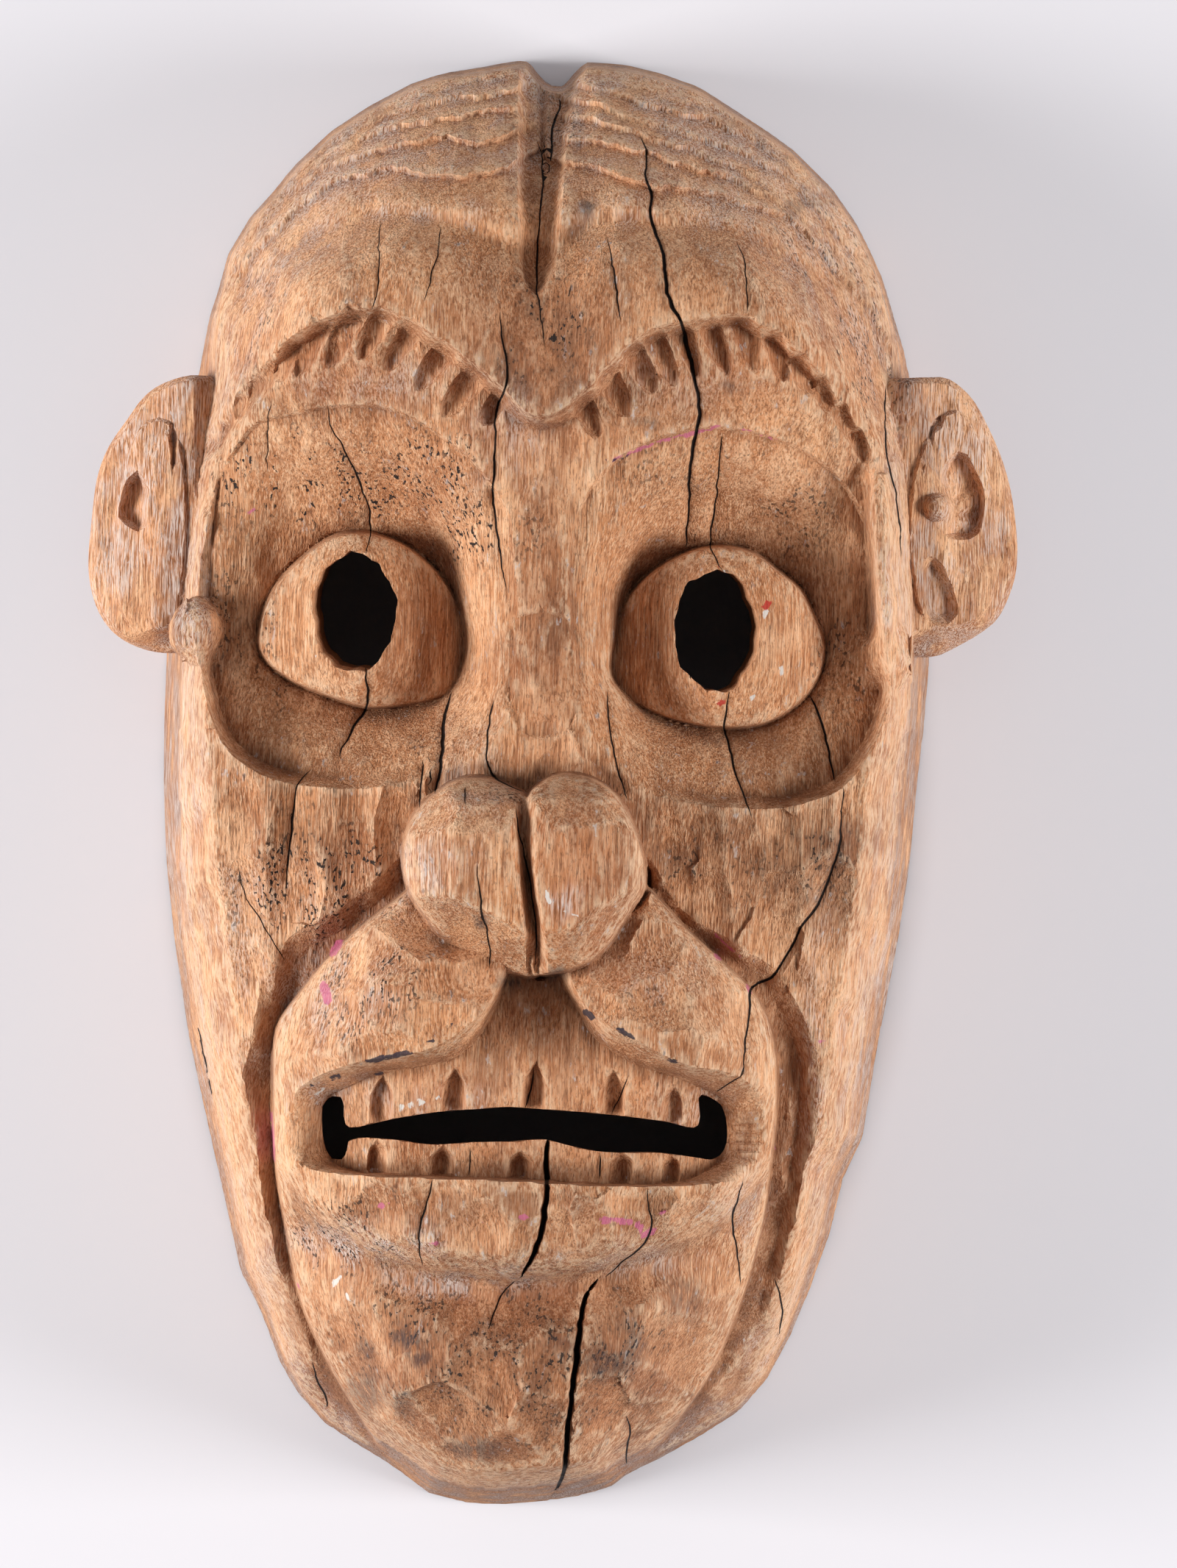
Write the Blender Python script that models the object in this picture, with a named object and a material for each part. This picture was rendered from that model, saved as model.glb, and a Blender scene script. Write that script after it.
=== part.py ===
"""Carved wooden face mask: one block of wood, hollowed from behind, lying on
its flat back rim with the face up.

Frame: metres, +Z out of the face, +Y towards the top of the forehead, +X to
the right of the face as a viewer sees it. The origin is at the middle of the
underside, on the plane of the rim.

The front is carved as one height over the plan of the mask. Everything is laid
out on the plane of the rim and then drawn in towards the front, as a block is
that was cut down from its back outline.
"""

import math

import bpy
import bmesh
import numpy as np

MM = 0.001

# ---------------------------------------------------------------- sizes, in mm
LENGTH = 360.0  # top of the forehead to the underside of the chin
HALF_WIDTH = 95.0  # half the width of the face at the cheekbones
MIDLINE_X = -3.0  # the face's own centre line, off centre because the ears differ
WIDEST_Y = 20.0  # where the face is widest
TOP_POWER = 2.8  # squareness of the outline above the widest line
BOTTOM_POWER = 2.25  # and below it
DRAFT_APEX = 930.0  # the upright lines of the carving meet this high above the rim
DRAFT_X = 11.0  # and over this point

FRONT = 84.0  # height of the cheeks beside the nose
SIDE_FALL = 0.0022  # how fast the front falls away to the sides, per mm
FOREHEAD_TURN = (3.0, 0.62)  # powers of the forehead's long curve back to the rim
SIDE_TURN = (14.0, 0.50)  # powers of the steeper side walls and chin

BROW_RISE = 14.0  # the brow ridge above the cheeks
BROW_DROP = 5.0  # step down from the brow ridge to the forehead above it
BROW_DIP_Y = 92.0  # the point of the V between the eyes
BROW_PEAK_Y = 117.0  # the arches of the brow
BROW_PEAK_X = 40.0
BROW_END_X = 84.0  # temple ends of the arches
BROW_END_DROP = 34.0
BROW_TOP_Y = 131.0  # crease over the brow ridge
BROW_TOP_ARCH = 9.0
WRINKLES = 5  # carved bands across the forehead
WRINKLE_DEPTH = 1.6
WRINKLE_FIRST, WRINKLE_STEP, WRINKLE_GROWTH = 3.9, 5.2, 0.6

GROOVE_X, GROOVE_HALF = -5.5, 5.8  # upright groove down the forehead
GROOVE_END_Y = 123.0
GROOVE_DEPTH = 7.0
NOTCH_HALF, NOTCH_DEPTH = 7.0, 6.0  # nick in the top edge at the groove

#            centre x, y, half width, half height
SOCKETS = ((-46.5, 46.0, 37.5, 49.0), (42.5, 46.0, 36.0, 51.0))
SOCKET_DEPTH, SOCKET_SLOPE = 19.0, 1.25
EYEBALLS = ((-47.0, 40.0, 27.0, 23.0), (42.5, 38.0, 27.5, 24.0))
EYEBALL_RISE = 17.0
PUPILS = ((-49.0, 41.0, 10.6, 15.0), (42.0, 39.3, 10.6, 15.3))

NOSE_LOBES = ((-19.0, -23.5, 16.5, 25.5), (11.0, -22.5, 16.0, 26.5))
NOSE_RISE = 43.0
NOSE_GROOVE = 6.0

MUZZLE = (-2.0, -97.0, 63.5, 82.0)  # the raised lips and chin in one form
MUZZLE_POWER = 2.2
MUZZLE_RISE = 25.0
CHANNEL_WIDTH, CHANNEL_DEPTH = 10.0, 14.0  # the groove that frames the muzzle
PHILTRUM_TOP_Y, PHILTRUM_TOP_HALF = -46.0, 8.5
PHILTRUM_LOW_Y, PHILTRUM_LOW_HALF = -68.0, 25.0
PHILTRUM_DEPTH = 13.0

MOUTH = (-1.5, -86.0, 60.0, 13.5)  # the recess that holds the teeth
MOUTH_DEPTH = 13.5
TEETH_GAP_Y, TEETH_GAP_HALF = -88.0, 3.4  # through slot between the two rows
TEETH_SPAN = (-50.0, 45.0)
TOOTH_PITCH, TOOTH_GAP, TOOTH_CUT = 20.0, 3.0, 5.0
CORNER_HOLES = ((-49.6, -86.0, 3.4, 8.0), (45.0, -86.5, 3.9, 8.5))
LIP_CREASE_Y, LIP_CREASE_SAG, LIP_CREASE_DEPTH = -124.0, 20.0, 8.0

WARTS = ((-87.0, 36.0, 57.0, 6.4), (83.0, 34.5, 56.0, 6.4))  # x, y, height, radius

EAR_ROOTS = ((-88.0, 64.5, -27.5), (88.0, 69.0, 28.0))  # x, y, reach outwards
EAR_HALF_HEIGHT = 35.0
EAR_HEIGHTS = (24.0, 44.0)  # lowest and highest side of the plate above the rim
EAR_HOLLOW = 7.0

RIM = 13.0  # width of the flat rim that the mask lies on
CAVITY_HEIGHT = 64.0
CAVITY_POWERS = (3.2, 0.5)
LEAST_WALL = 8.0
WALL_SLOPE = 7.0  # steepest the side walls stand at the rim, rise over run

GRID_STEP = 1.3
TRIANGLES = 8600


# ------------------------------------------------------------ shape functions
def smoothstep(low, high, value):
    t = np.clip((value - low) / (high - low), 0.0, 1.0)
    return t * t * (3.0 - 2.0 * t)


def outline_level(x, y):
    """0 at the middle of the plan and 1 on the outline of the face."""
    across = np.abs(x - MIDLINE_X) / HALF_WIDTH
    top = LENGTH / 2 - WIDEST_Y
    bottom = LENGTH / 2 + WIDEST_Y
    up = np.abs(y - WIDEST_Y) / np.where(y > WIDEST_Y, top, bottom)
    power = np.where(y > WIDEST_Y, TOP_POWER, BOTTOM_POWER)
    return (across**power + up**power) ** (1.0 / power)


def outline_inset(x, y):
    """Distance inside the outline along the line to the middle of the plan."""
    level = np.maximum(outline_level(x, y), 1e-6)
    return np.hypot(x - MIDLINE_X, y - WIDEST_Y) * (1.0 / level - 1.0)


def oval_level(x, y, oval, power=2.0):
    cx, cy, half_x, half_y = oval
    return (
        np.abs((x - cx) / half_x) ** power + np.abs((y - cy) / half_y) ** power
    ) ** (1.0 / power)


def oval_inset(x, y, oval, power=2.0):
    """Distance inside an oval, about right near its edge."""
    cx, cy, half_x, half_y = oval
    level = np.maximum(oval_level(x, y, oval, power), 1e-6)
    reach = np.hypot(x - cx, y - cy)
    return reach * (1.0 / level - 1.0)


def brow_edge(t):
    """Height on the plan of the brow's lower edge, t from the centre line."""
    inner = BROW_PEAK_Y - (BROW_PEAK_Y - BROW_DIP_Y) * np.clip(
        1.0 - t / BROW_PEAK_X, 0.0, 1.0
    ) ** 1.3
    outer = BROW_END_DROP * np.clip(
        (t - BROW_PEAK_X) / (BROW_END_X - BROW_PEAK_X), 0.0, None
    ) ** 2
    return inner - outer


def brow_top(t):
    return BROW_TOP_Y + BROW_TOP_ARCH * np.sin(np.pi * np.clip(t / 68.0, 0.0, 1.3))


def turned_edge(level, y):
    """How the front turns down to the rim: 1 over the middle, 0 on the outline."""
    level = np.clip(level, 0.0, 1.0)
    up = smoothstep(70.0, 135.0, y)
    forehead = (1.0 - level ** FOREHEAD_TURN[0]) ** FOREHEAD_TURN[1]
    side = (1.0 - level ** SIDE_TURN[0]) ** SIDE_TURN[1]
    return side * (1.0 - up) + forehead * up


def front_height(x, y):
    """Height of the carved front over the rim plane, in mm."""
    t = np.abs(x - MIDLINE_X)
    nick = NOTCH_DEPTH * np.clip(1.0 - np.abs(x - GROOVE_X - 1.0) / NOTCH_HALF, 0, 1)
    nick = nick * smoothstep(125.0, 160.0, y)
    level = outline_level(x, y + nick)
    wall = WALL_SLOPE * outline_inset(x, y + nick)
    turn = turned_edge(level, y)
    z = FRONT - SIDE_FALL * t**2

    # brow ridge, and the forehead that runs back from it
    over_edge = y - brow_edge(t)
    brow = smoothstep(-4.0, 1.0, over_edge)
    above = smoothstep(-1.5, 1.5, y - brow_top(t))

    # eye sockets with the eyeballs in them
    for socket, ball in zip(SOCKETS, EYEBALLS):
        inset = oval_inset(x, y, socket, 2.4)
        hollow = np.clip(inset * SOCKET_SLOPE, 0.0, SOCKET_DEPTH)
        dome = np.clip(1.0 - oval_level(x, y, ball, 2.2) ** 3.0, 0.0, 1.0) ** 0.6
        z = z - (hollow - EYEBALL_RISE * dome) * (1.0 - brow)

    # lips and chin, framed by a channel that slopes up to the cheek
    inset = oval_inset(x, y, MUZZLE, MUZZLE_POWER)
    rise = MUZZLE_RISE * smoothstep(-1.0, 2.5, inset)
    channel = CHANNEL_DEPTH * (1.0 - np.clip(-inset / CHANNEL_WIDTH, 0.0, 1.0))
    fade = smoothstep(-22.0, -34.0, y)
    z = z + rise - channel * (1.0 - smoothstep(-1.0, 2.5, inset)) * fade
    crease = LIP_CREASE_Y + LIP_CREASE_SAG * (t / 62.0) ** 2
    z = z - LIP_CREASE_DEPTH * np.exp(-(((y - crease) / 9.0) ** 2)) * smoothstep(
        0.0, 6.0, inset
    )

    # the cleft under the nose widens into the upper teeth
    half = np.interp(
        -y,
        (-PHILTRUM_TOP_Y, -PHILTRUM_LOW_Y, -PHILTRUM_LOW_Y + 8.0),
        (PHILTRUM_TOP_HALF, PHILTRUM_LOW_HALF, 58.0),
    )
    cleft = smoothstep(1.5, -1.5, t - half) * smoothstep(-80.0, -76.0, y)
    cleft = cleft * smoothstep(-38.0, -44.0, y)
    recess = smoothstep(-1.0, 2.0, oval_inset(x, y, MOUTH, 3.5))
    teeth = np.maximum(cleft * PHILTRUM_DEPTH, recess * MOUTH_DEPTH)
    z = z - teeth
    between = np.abs((x - MIDLINE_X) % TOOTH_PITCH - TOOTH_PITCH / 2)
    in_row = smoothstep(16.0, 13.0, np.abs(y + 87.0)) * recess
    z = z - TOOTH_CUT * smoothstep(TOOTH_GAP, TOOTH_GAP - 1.2, between) * in_row

    # nose: two lobes with a groove between them
    for lobe in NOSE_LOBES:
        dome = np.clip(1.0 - oval_level(x, y, lobe, 2.5) ** 3.2, 0.0, 1.0) ** 0.5
        raised = np.maximum(z, FRONT - 6.0 + (NOSE_RISE + 6.0) * dome)
        z = np.where(dome > 0.0, raised, z)
    line = MIDLINE_X - 2.0 + (-2.0 - y) * 0.07
    wide = 1.2 + (-2.0 - y) * 0.035
    length = smoothstep(4.0, -2.0, y) * smoothstep(-52.0, -47.0, y)
    z = z - NOSE_GROOVE * length * smoothstep(wide + 1.2, wide - 0.6, np.abs(x - line))

    # forehead and brow over all of it
    z = z * (1.0 - brow) + (FRONT + BROW_RISE - SIDE_FALL * t**2) * brow
    z = z - BROW_DROP * above * brow
    z = z * turn
    inset = (1.0 - level) * (LENGTH / 2 - WIDEST_Y)
    count = (
        -WRINKLE_STEP
        + np.sqrt(
            WRINKLE_STEP**2
            + 4.0 * WRINKLE_GROWTH * np.maximum(inset - WRINKLE_FIRST, 0.0)
        )
    ) / (2.0 * WRINKLE_GROWTH)
    scoop = np.abs(np.sin(np.pi * np.clip(count, 0.0, WRINKLES)))
    z = z - WRINKLE_DEPTH * scoop * above * smoothstep(0.0, 4.0, inset)

    # groove down the forehead to its rounded end
    end = np.hypot(np.abs(x - GROOVE_X), np.minimum(y - GROOVE_END_Y - GROOVE_HALF, 0.0))
    z = z - GROOVE_DEPTH * smoothstep(GROOVE_HALF, GROOVE_HALF - 2.5, end) * smoothstep(
        0.0, 8.0, z
    )

    # the surface runs on down at the slope of the walls, through the rim plane
    return np.maximum(np.minimum(z, wall), -12.0)


def cavity_height(x, y):
    """Height of the hollow behind the face."""
    inside = outline_level(x, y) * HALF_WIDTH / (HALF_WIDTH - RIM)
    z = CAVITY_HEIGHT * (
        np.clip(1.0 - inside ** CAVITY_POWERS[0], 0.0, 1.0) ** CAVITY_POWERS[1]
    )
    near = front_height(x, y)
    spread = [
        front_height(x + 5.0 * math.cos(a), y + 5.0 * math.sin(a))
        for a in np.linspace(0.0, 2.0 * math.pi, 8, endpoint=False)
    ]
    wall = np.minimum.reduce([near] + spread) - LEAST_WALL
    z = np.minimum(z, wall)
    return np.where(inside < 1.0, np.maximum(z, -4.0), np.maximum(-(inside - 1.0) * 90.0, -6.0))


def drawn_in(x, y, z):
    """Moves a point of the plan to its place in the draft, in metres."""
    scale = 1.0 - np.maximum(z, 0.0) / DRAFT_APEX
    return (DRAFT_X + (x - DRAFT_X) * scale) * MM, y * scale * MM, z * MM


# --------------------------------------------------------------- scene set-up
def clear_scene():
    for obj in list(bpy.data.objects):
        bpy.data.objects.remove(obj, do_unlink=True)


def new_collection(name):
    collection = bpy.data.collections.new(name)
    bpy.context.scene.collection.children.link(collection)
    return collection


def new_object(name, bm, collection):
    mesh = bpy.data.meshes.new(name)
    bm.to_mesh(mesh)
    bm.free()
    obj = bpy.data.objects.new(name, mesh)
    collection.objects.link(obj)
    return obj


def as_cutter(obj):
    obj.hide_render = True
    obj.display_type = "WIRE"
    return obj


def surface_block(name, height, floor, collection, step=GRID_STEP):
    """A grid laid over the plan, raised by height(x, y) and closed down to floor."""
    half_x, half_y = 118.0, LENGTH / 2 + 6.0
    count_x, count_y = int(2 * half_x / step), int(2 * half_y / step)
    bm = bmesh.new()
    bmesh.ops.create_grid(bm, x_segments=count_x, y_segments=count_y, size=1.0)
    plan = np.array([v.co[:2] for v in bm.verts])
    x, y = plan[:, 0] * half_x, plan[:, 1] * half_y
    z = height(x, y)
    px, py, pz = drawn_in(x, y, z)
    for vert, a, b, c in zip(bm.verts, px, py, pz):
        vert.co = (a, b, c)
    rim = [e for e in bm.edges if e.is_boundary]
    skirt = bmesh.ops.extrude_edge_only(bm, edges=rim)
    low = [g for g in skirt["geom"] if isinstance(g, bmesh.types.BMVert)]
    for vert in low:
        vert.co.z = floor * MM
    bmesh.ops.holes_fill(bm, edges=[e for e in bm.edges if e.is_boundary], sides=0)
    bmesh.ops.triangulate(bm, faces=[f for f in bm.faces if len(f.verts) > 4])
    bmesh.ops.recalc_face_normals(bm, faces=bm.faces)
    return new_object(name, bm, collection)


def slab(name, low, high, collection):
    bm = bmesh.new()
    bmesh.ops.create_cube(bm, size=1.0)
    for vert in bm.verts:
        vert.co.x *= 0.40
        vert.co.y *= 0.50
        vert.co.z = (low if vert.co.z < 0 else high) * MM
    return as_cutter(new_object(name, bm, collection))


def shaft(name, oval, front, low, high, grow, collection, power=2.0):
    """An upright oval shaft through the face, a little wider towards the back,
    that meets the draft where the carving stands front high."""
    cx, cy, half_x, half_y = oval
    bm = bmesh.new()
    bmesh.ops.create_cone(
        bm, cap_ends=True, segments=40, radius1=1.0, radius2=1.0, depth=2.0
    )
    for vert in bm.verts:
        z = low if vert.co.z < 0 else high
        a = math.atan2(vert.co.y, vert.co.x)
        c, s = math.cos(a), math.sin(a)
        r = (abs(c) ** power + abs(s) ** power) ** (-1.0 / power)
        r *= grow if vert.co.z < 0 else 1.0
        vert.co = drawn_in(cx + half_x * r * c, cy + half_y * r * s, front)
        vert.co.z = z * MM
    bmesh.ops.recalc_face_normals(bm, faces=bm.faces)
    return as_cutter(new_object(name, bm, collection))


def wart(name, lump, collection):
    """A rounded lump on the wall at the outer corner of an eye."""
    x, y, z, radius = lump
    bm = bmesh.new()
    bmesh.ops.create_uvsphere(bm, u_segments=16, v_segments=10, radius=radius * MM)
    bmesh.ops.translate(bm, verts=bm.verts, vec=drawn_in(x, y, z))
    return as_cutter(new_object(name, bm, collection))


def ear(name, root, collection):
    """A flat rounded plate that stands out from the side of the face, with a
    hollow in its front and a straight edge that sinks into the wall."""
    x0, y0, reach = root
    side = 1.0 if reach > 0 else -1.0
    bm = bmesh.new()
    bmesh.ops.create_uvsphere(bm, u_segments=44, v_segments=22, radius=1.0)
    low, high = EAR_HEIGHTS
    for vert in bm.verts:
        a, b, c = vert.co
        r = math.hypot(a, b)
        square = (abs(a) ** 2.7 + abs(b) ** 2.7) ** (1.0 / 2.7)
        spread = r**0.65 / square if r > 1e-3 else 0.0
        out, up = a * spread, b * spread
        wide = abs(reach) if side * out > 0 else 14.0
        x = x0 + wide * out
        y = y0 + EAR_HALF_HEIGHT * up * (1.0 - 0.10 * max(side * out, 0.0))
        thick = 0.5 * (high - low) * (math.copysign(abs(c) ** 0.45, c))
        z = 0.5 * (high + low) + thick - 5.0 * max(side * out, 0.0)
        if c > 0:
            dip = math.hypot((out - side * 0.52) / 0.34, up / 0.62)
            z -= EAR_HOLLOW * max(0.0, 1.0 - dip**2.2)
        vert.co = (
            (DRAFT_X + (x - DRAFT_X) * (1.0 - z / DRAFT_APEX)) * MM,
            y * (1.0 - z / DRAFT_APEX) * MM,
            z * MM,
        )
    bmesh.ops.recalc_face_normals(bm, faces=bm.faces)
    return as_cutter(new_object(name, bm, collection))


def boolean(obj, other, operation):
    modifier = obj.modifiers.new(other.name, "BOOLEAN")
    modifier.operation = operation
    modifier.solver = "EXACT"
    modifier.object = other


def baked(obj, name, collection):
    """The object with its modifiers applied, as a mesh of its own."""
    graph = bpy.context.evaluated_depsgraph_get()
    mesh = bpy.data.meshes.new_from_object(obj.evaluated_get(graph))
    mesh.name = name
    result = bpy.data.objects.new(name, mesh)
    collection.objects.link(result)
    return result


def wood(name):
    material = bpy.data.materials.new(name)
    material.use_nodes = True
    shader = material.node_tree.nodes["Principled BSDF"]
    shader.inputs["Base Color"].default_value = (0.50, 0.255, 0.125, 1.0)
    shader.inputs["Roughness"].default_value = 0.86
    shader.inputs["Metallic"].default_value = 0.0
    material.diffuse_color = (0.50, 0.255, 0.125, 1.0)
    return material


def build():
    clear_scene()
    parts = new_collection("carved mask")
    cutters = new_collection("carved mask cutters")

    block = surface_block("block", front_height, -20.0, cutters)
    as_cutter(block)
    boolean(block, slab("block bounds", 0.0, 200.0, cutters), "INTERSECT")
    for name, lump in zip(("wart left", "wart right"), WARTS):
        boolean(block, wart(name, lump, cutters), "UNION")
    for name, root in zip(("ear left", "ear right"), EAR_ROOTS):
        boolean(block, ear(name, root, cutters), "UNION")
    hollow = as_cutter(surface_block("hollow", cavity_height, -9.0, cutters, 2.2))
    boolean(block, hollow, "DIFFERENCE")
    for name, pupil in zip(("pupil left", "pupil right"), PUPILS):
        boolean(
            block, shaft(name, pupil, 78.0, 20.0, 130.0, 1.1, cutters), "DIFFERENCE"
        )
    span = TEETH_SPAN
    gap = (
        (span[0] + span[1]) / 2,
        TEETH_GAP_Y,
        (span[1] - span[0]) / 2,
        TEETH_GAP_HALF,
    )
    slot = shaft("teeth gap", gap, 88.0, 20.0, 140.0, 1.05, cutters, 8.0)
    boolean(block, slot, "DIFFERENCE")
    for name, hole in zip(("mouth corner left", "mouth corner right"), CORNER_HOLES):
        boolean(
            block,
            shaft(name, hole, 88.0, 20.0, 140.0, 1.05, cutters, 3.0),
            "DIFFERENCE",
        )

    bpy.context.view_layer.update()
    carved = baked(block, "carved", cutters)
    as_cutter(carved)
    bm = bmesh.new()
    bm.from_mesh(carved.data)
    bmesh.ops.remove_doubles(bm, verts=bm.verts, dist=1e-6)
    bmesh.ops.triangulate(bm, faces=bm.faces)
    count = len(bm.faces)
    bm.to_mesh(carved.data)
    bm.free()
    thin = carved.modifiers.new("facets", "DECIMATE")
    thin.ratio = min(1.0, TRIANGLES / count)
    thin.use_collapse_triangulate = True
    bpy.context.view_layer.update()
    mask = baked(carved, "mask", parts)
    mask.data.materials.clear()
    mask.data.materials.append(wood("raw carved wood"))
    # the rim is sawn flat
    for vert in mask.data.vertices:
        if vert.co.z < 0.0006:
            vert.co.z = 0.0
    # the middle of the underside is the origin
    corners = np.array([vert.co for vert in mask.data.vertices])
    middle = (corners.min(axis=0) + corners.max(axis=0)) / 2.0
    for vert in mask.data.vertices:
        vert.co.x -= middle[0]
        vert.co.y -= middle[1]
    for obj in (block, carved):
        for modifier in list(obj.modifiers):
            obj.modifiers.remove(modifier)
    mask.data.shade_smooth()
    mask.data.set_sharp_from_angle(angle=math.radians(35.0))


build()
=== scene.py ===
import math

import bpy
import numpy as np
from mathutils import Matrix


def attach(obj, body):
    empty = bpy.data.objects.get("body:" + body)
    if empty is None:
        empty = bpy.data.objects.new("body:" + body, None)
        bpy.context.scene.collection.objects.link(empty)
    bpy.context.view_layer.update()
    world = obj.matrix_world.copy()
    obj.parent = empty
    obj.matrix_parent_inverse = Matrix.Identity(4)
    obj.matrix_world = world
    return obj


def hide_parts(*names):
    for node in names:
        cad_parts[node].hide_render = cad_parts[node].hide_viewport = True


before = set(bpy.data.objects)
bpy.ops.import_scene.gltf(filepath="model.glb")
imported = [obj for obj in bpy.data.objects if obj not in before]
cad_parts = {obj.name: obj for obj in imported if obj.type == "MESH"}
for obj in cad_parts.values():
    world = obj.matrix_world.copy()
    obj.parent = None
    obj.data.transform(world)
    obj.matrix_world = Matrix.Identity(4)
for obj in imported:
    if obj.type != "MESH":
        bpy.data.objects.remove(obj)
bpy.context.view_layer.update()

# ------------------------------------------------------------------ the layout
# The carving is laid out on the plane of the rim in units of the reference
# view, u to the right and v down. SCALE units make a millimetre there. A point
# that stands z mm above the rim is drawn in towards the viewing axis as the
# view itself draws it in, so what is laid out at (u, v) is seen at (u, v).
SCALE = 5.447
APEX = 930.0  # height of the viewpoint over the rim plane, mm
U0, V0 = 800.0, 1066.0  # where the viewing axis meets the layout
ROLL = math.radians(1.8)  # the mask's own upright against the view's
AXIS_X, AXIS_Y = 10.46, 0.18  # where the viewing axis meets the frame, mm

STEP = 0.55  # lattice spacing, mm
COARSE = 4  # the layout fields are worked out on every 4th line

A_LOW, A_HIGH = -130.0, 112.0
B_LOW, B_HIGH = -184.0, 185.0
NA = int((A_HIGH - A_LOW) / STEP / COARSE) * COARSE + 1
NB = int((B_HIGH - B_LOW) / STEP / COARSE) * COARSE + 1
A = A_LOW + STEP * np.arange(NA)
B = B_LOW + STEP * np.arange(NB)
AG, BG = np.meshgrid(A, B, indexing="ij")
UG = U0 + AG * SCALE
VG = V0 - BG * SCALE
AC, BC = AG[::COARSE, ::COARSE], BG[::COARSE, ::COARSE]
UC, VC = UG[::COARSE, ::COARSE], VG[::COARSE, ::COARSE]


def to_world(a, b, z):
    k = 1.0 - z / APEX
    c, s = math.cos(ROLL), math.sin(ROLL)
    x = (c * a - s * b) * k + AXIS_X
    y = (s * a + c * b) * k + AXIS_Y
    return np.stack([x, y, z], axis=-1) * 0.001


# -------------------------------------------------------------- field helpers
def smooth(low, high, value):
    t = np.clip((value - low) / (high - low), 0.0, 1.0)
    return t * t * (3.0 - 2.0 * t)


def fine(coarse):
    """Carries a field from the coarse lines to every line of the lattice."""
    i = np.arange(NA) / COARSE
    j = np.arange(NB) / COARSE
    i0 = np.minimum(i.astype(int), coarse.shape[0] - 2)
    j0 = np.minimum(j.astype(int), coarse.shape[1] - 2)
    fi, fj = (i - i0)[:, None], (j - j0)[None, :]
    rows = coarse[i0] * (1 - fi) + coarse[i0 + 1] * fi
    return rows[:, j0] * (1 - fj) + rows[:, j0 + 1] * fj


def curve(points, closed=False, per=7):
    """A smooth line through the points (centripetal Catmull-Rom)."""
    p = np.array(points, float)
    if closed:
        p = np.vstack([p[-1], p, p[0], p[1]])
    else:
        p = np.vstack([2 * p[0] - p[1], p, 2 * p[-1] - p[-2]])
    out = []
    for k in range(1, len(p) - 2):
        p0, p1, p2, p3 = p[k - 1 : k + 3]
        t0 = 0.0
        t1 = t0 + max(np.linalg.norm(p1 - p0), 1e-6) ** 0.5
        t2 = t1 + max(np.linalg.norm(p2 - p1), 1e-6) ** 0.5
        t3 = t2 + max(np.linalg.norm(p3 - p2), 1e-6) ** 0.5
        t = np.linspace(t1, t2, per, endpoint=False)[:, None]
        a1 = (t1 - t) / (t1 - t0) * p0 + (t - t0) / (t1 - t0) * p1
        a2 = (t2 - t) / (t2 - t1) * p1 + (t - t1) / (t2 - t1) * p2
        a3 = (t3 - t) / (t3 - t2) * p2 + (t - t2) / (t3 - t2) * p3
        b1 = (t2 - t) / (t2 - t0) * a1 + (t - t0) / (t2 - t0) * a2
        b2 = (t3 - t) / (t3 - t1) * a2 + (t - t1) / (t3 - t1) * a3
        out.append((t2 - t) / (t2 - t1) * b1 + (t - t1) / (t2 - t1) * b2)
    line = np.vstack(out)
    return line if closed else np.vstack([line, p[-2]])


def line_distance(line, u, v, closed=False):
    """Distance in units to a polyline, and the even-odd side of it."""
    ends = np.roll(line, -1, axis=0) if closed else line[1:]
    starts = line if closed else line[:-1]
    best = np.full(u.shape, 1e9)
    inside = np.zeros(u.shape, bool)
    for (x0, y0), (x1, y1) in zip(starts, ends):
        dx, dy = x1 - x0, y1 - y0
        along = np.clip(
            ((u - x0) * dx + (v - y0) * dy) / max(dx * dx + dy * dy, 1e-9), 0, 1
        )
        best = np.minimum(best, (u - x0 - along * dx) ** 2 + (v - y0 - along * dy) ** 2)
        if closed and y0 != y1:
            crosses = (y0 > v) != (y1 > v)
            inside ^= crosses & (u < x0 + (v - y0) * dx / dy)
    return np.sqrt(best), inside


def region(points, straight=False):
    """Distance in mm inside a closed outline, negative outside it."""
    line = np.array(points, float) if straight else curve(points, closed=True)
    distance, inside = line_distance(line, UC, VC, closed=True)
    return fine(np.where(inside, distance, -distance) / SCALE)


def sheet(points, stiff=0.0):
    """A smooth surface through points (u, v, height): a thin plate."""
    p = np.array(points, float)
    x, y, z = p[:, 0] / 100.0, p[:, 1] / 100.0, p[:, 2]

    def kernel(r2):
        return 0.5 * r2 * np.log(np.maximum(r2, 1e-12))

    n = len(p)
    m = np.zeros((n + 3, n + 3))
    m[:n, :n] = kernel((x[:, None] - x) ** 2 + (y[:, None] - y) ** 2)
    m[:n, :n] += stiff * np.eye(n)
    m[:n, n], m[:n, n + 1], m[:n, n + 2] = 1.0, x, y
    m[n:, :n] = m[:n, n:].T
    w = np.linalg.solve(m, np.concatenate([z, np.zeros(3)]))
    us, vs = UC / 100.0, VC / 100.0
    out = w[n] + w[n + 1] * us + w[n + 2] * vs
    for k in range(n):
        out = out + w[k] * kernel((us - x[k]) ** 2 + (vs - y[k]) ** 2)
    return fine(out)


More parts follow.
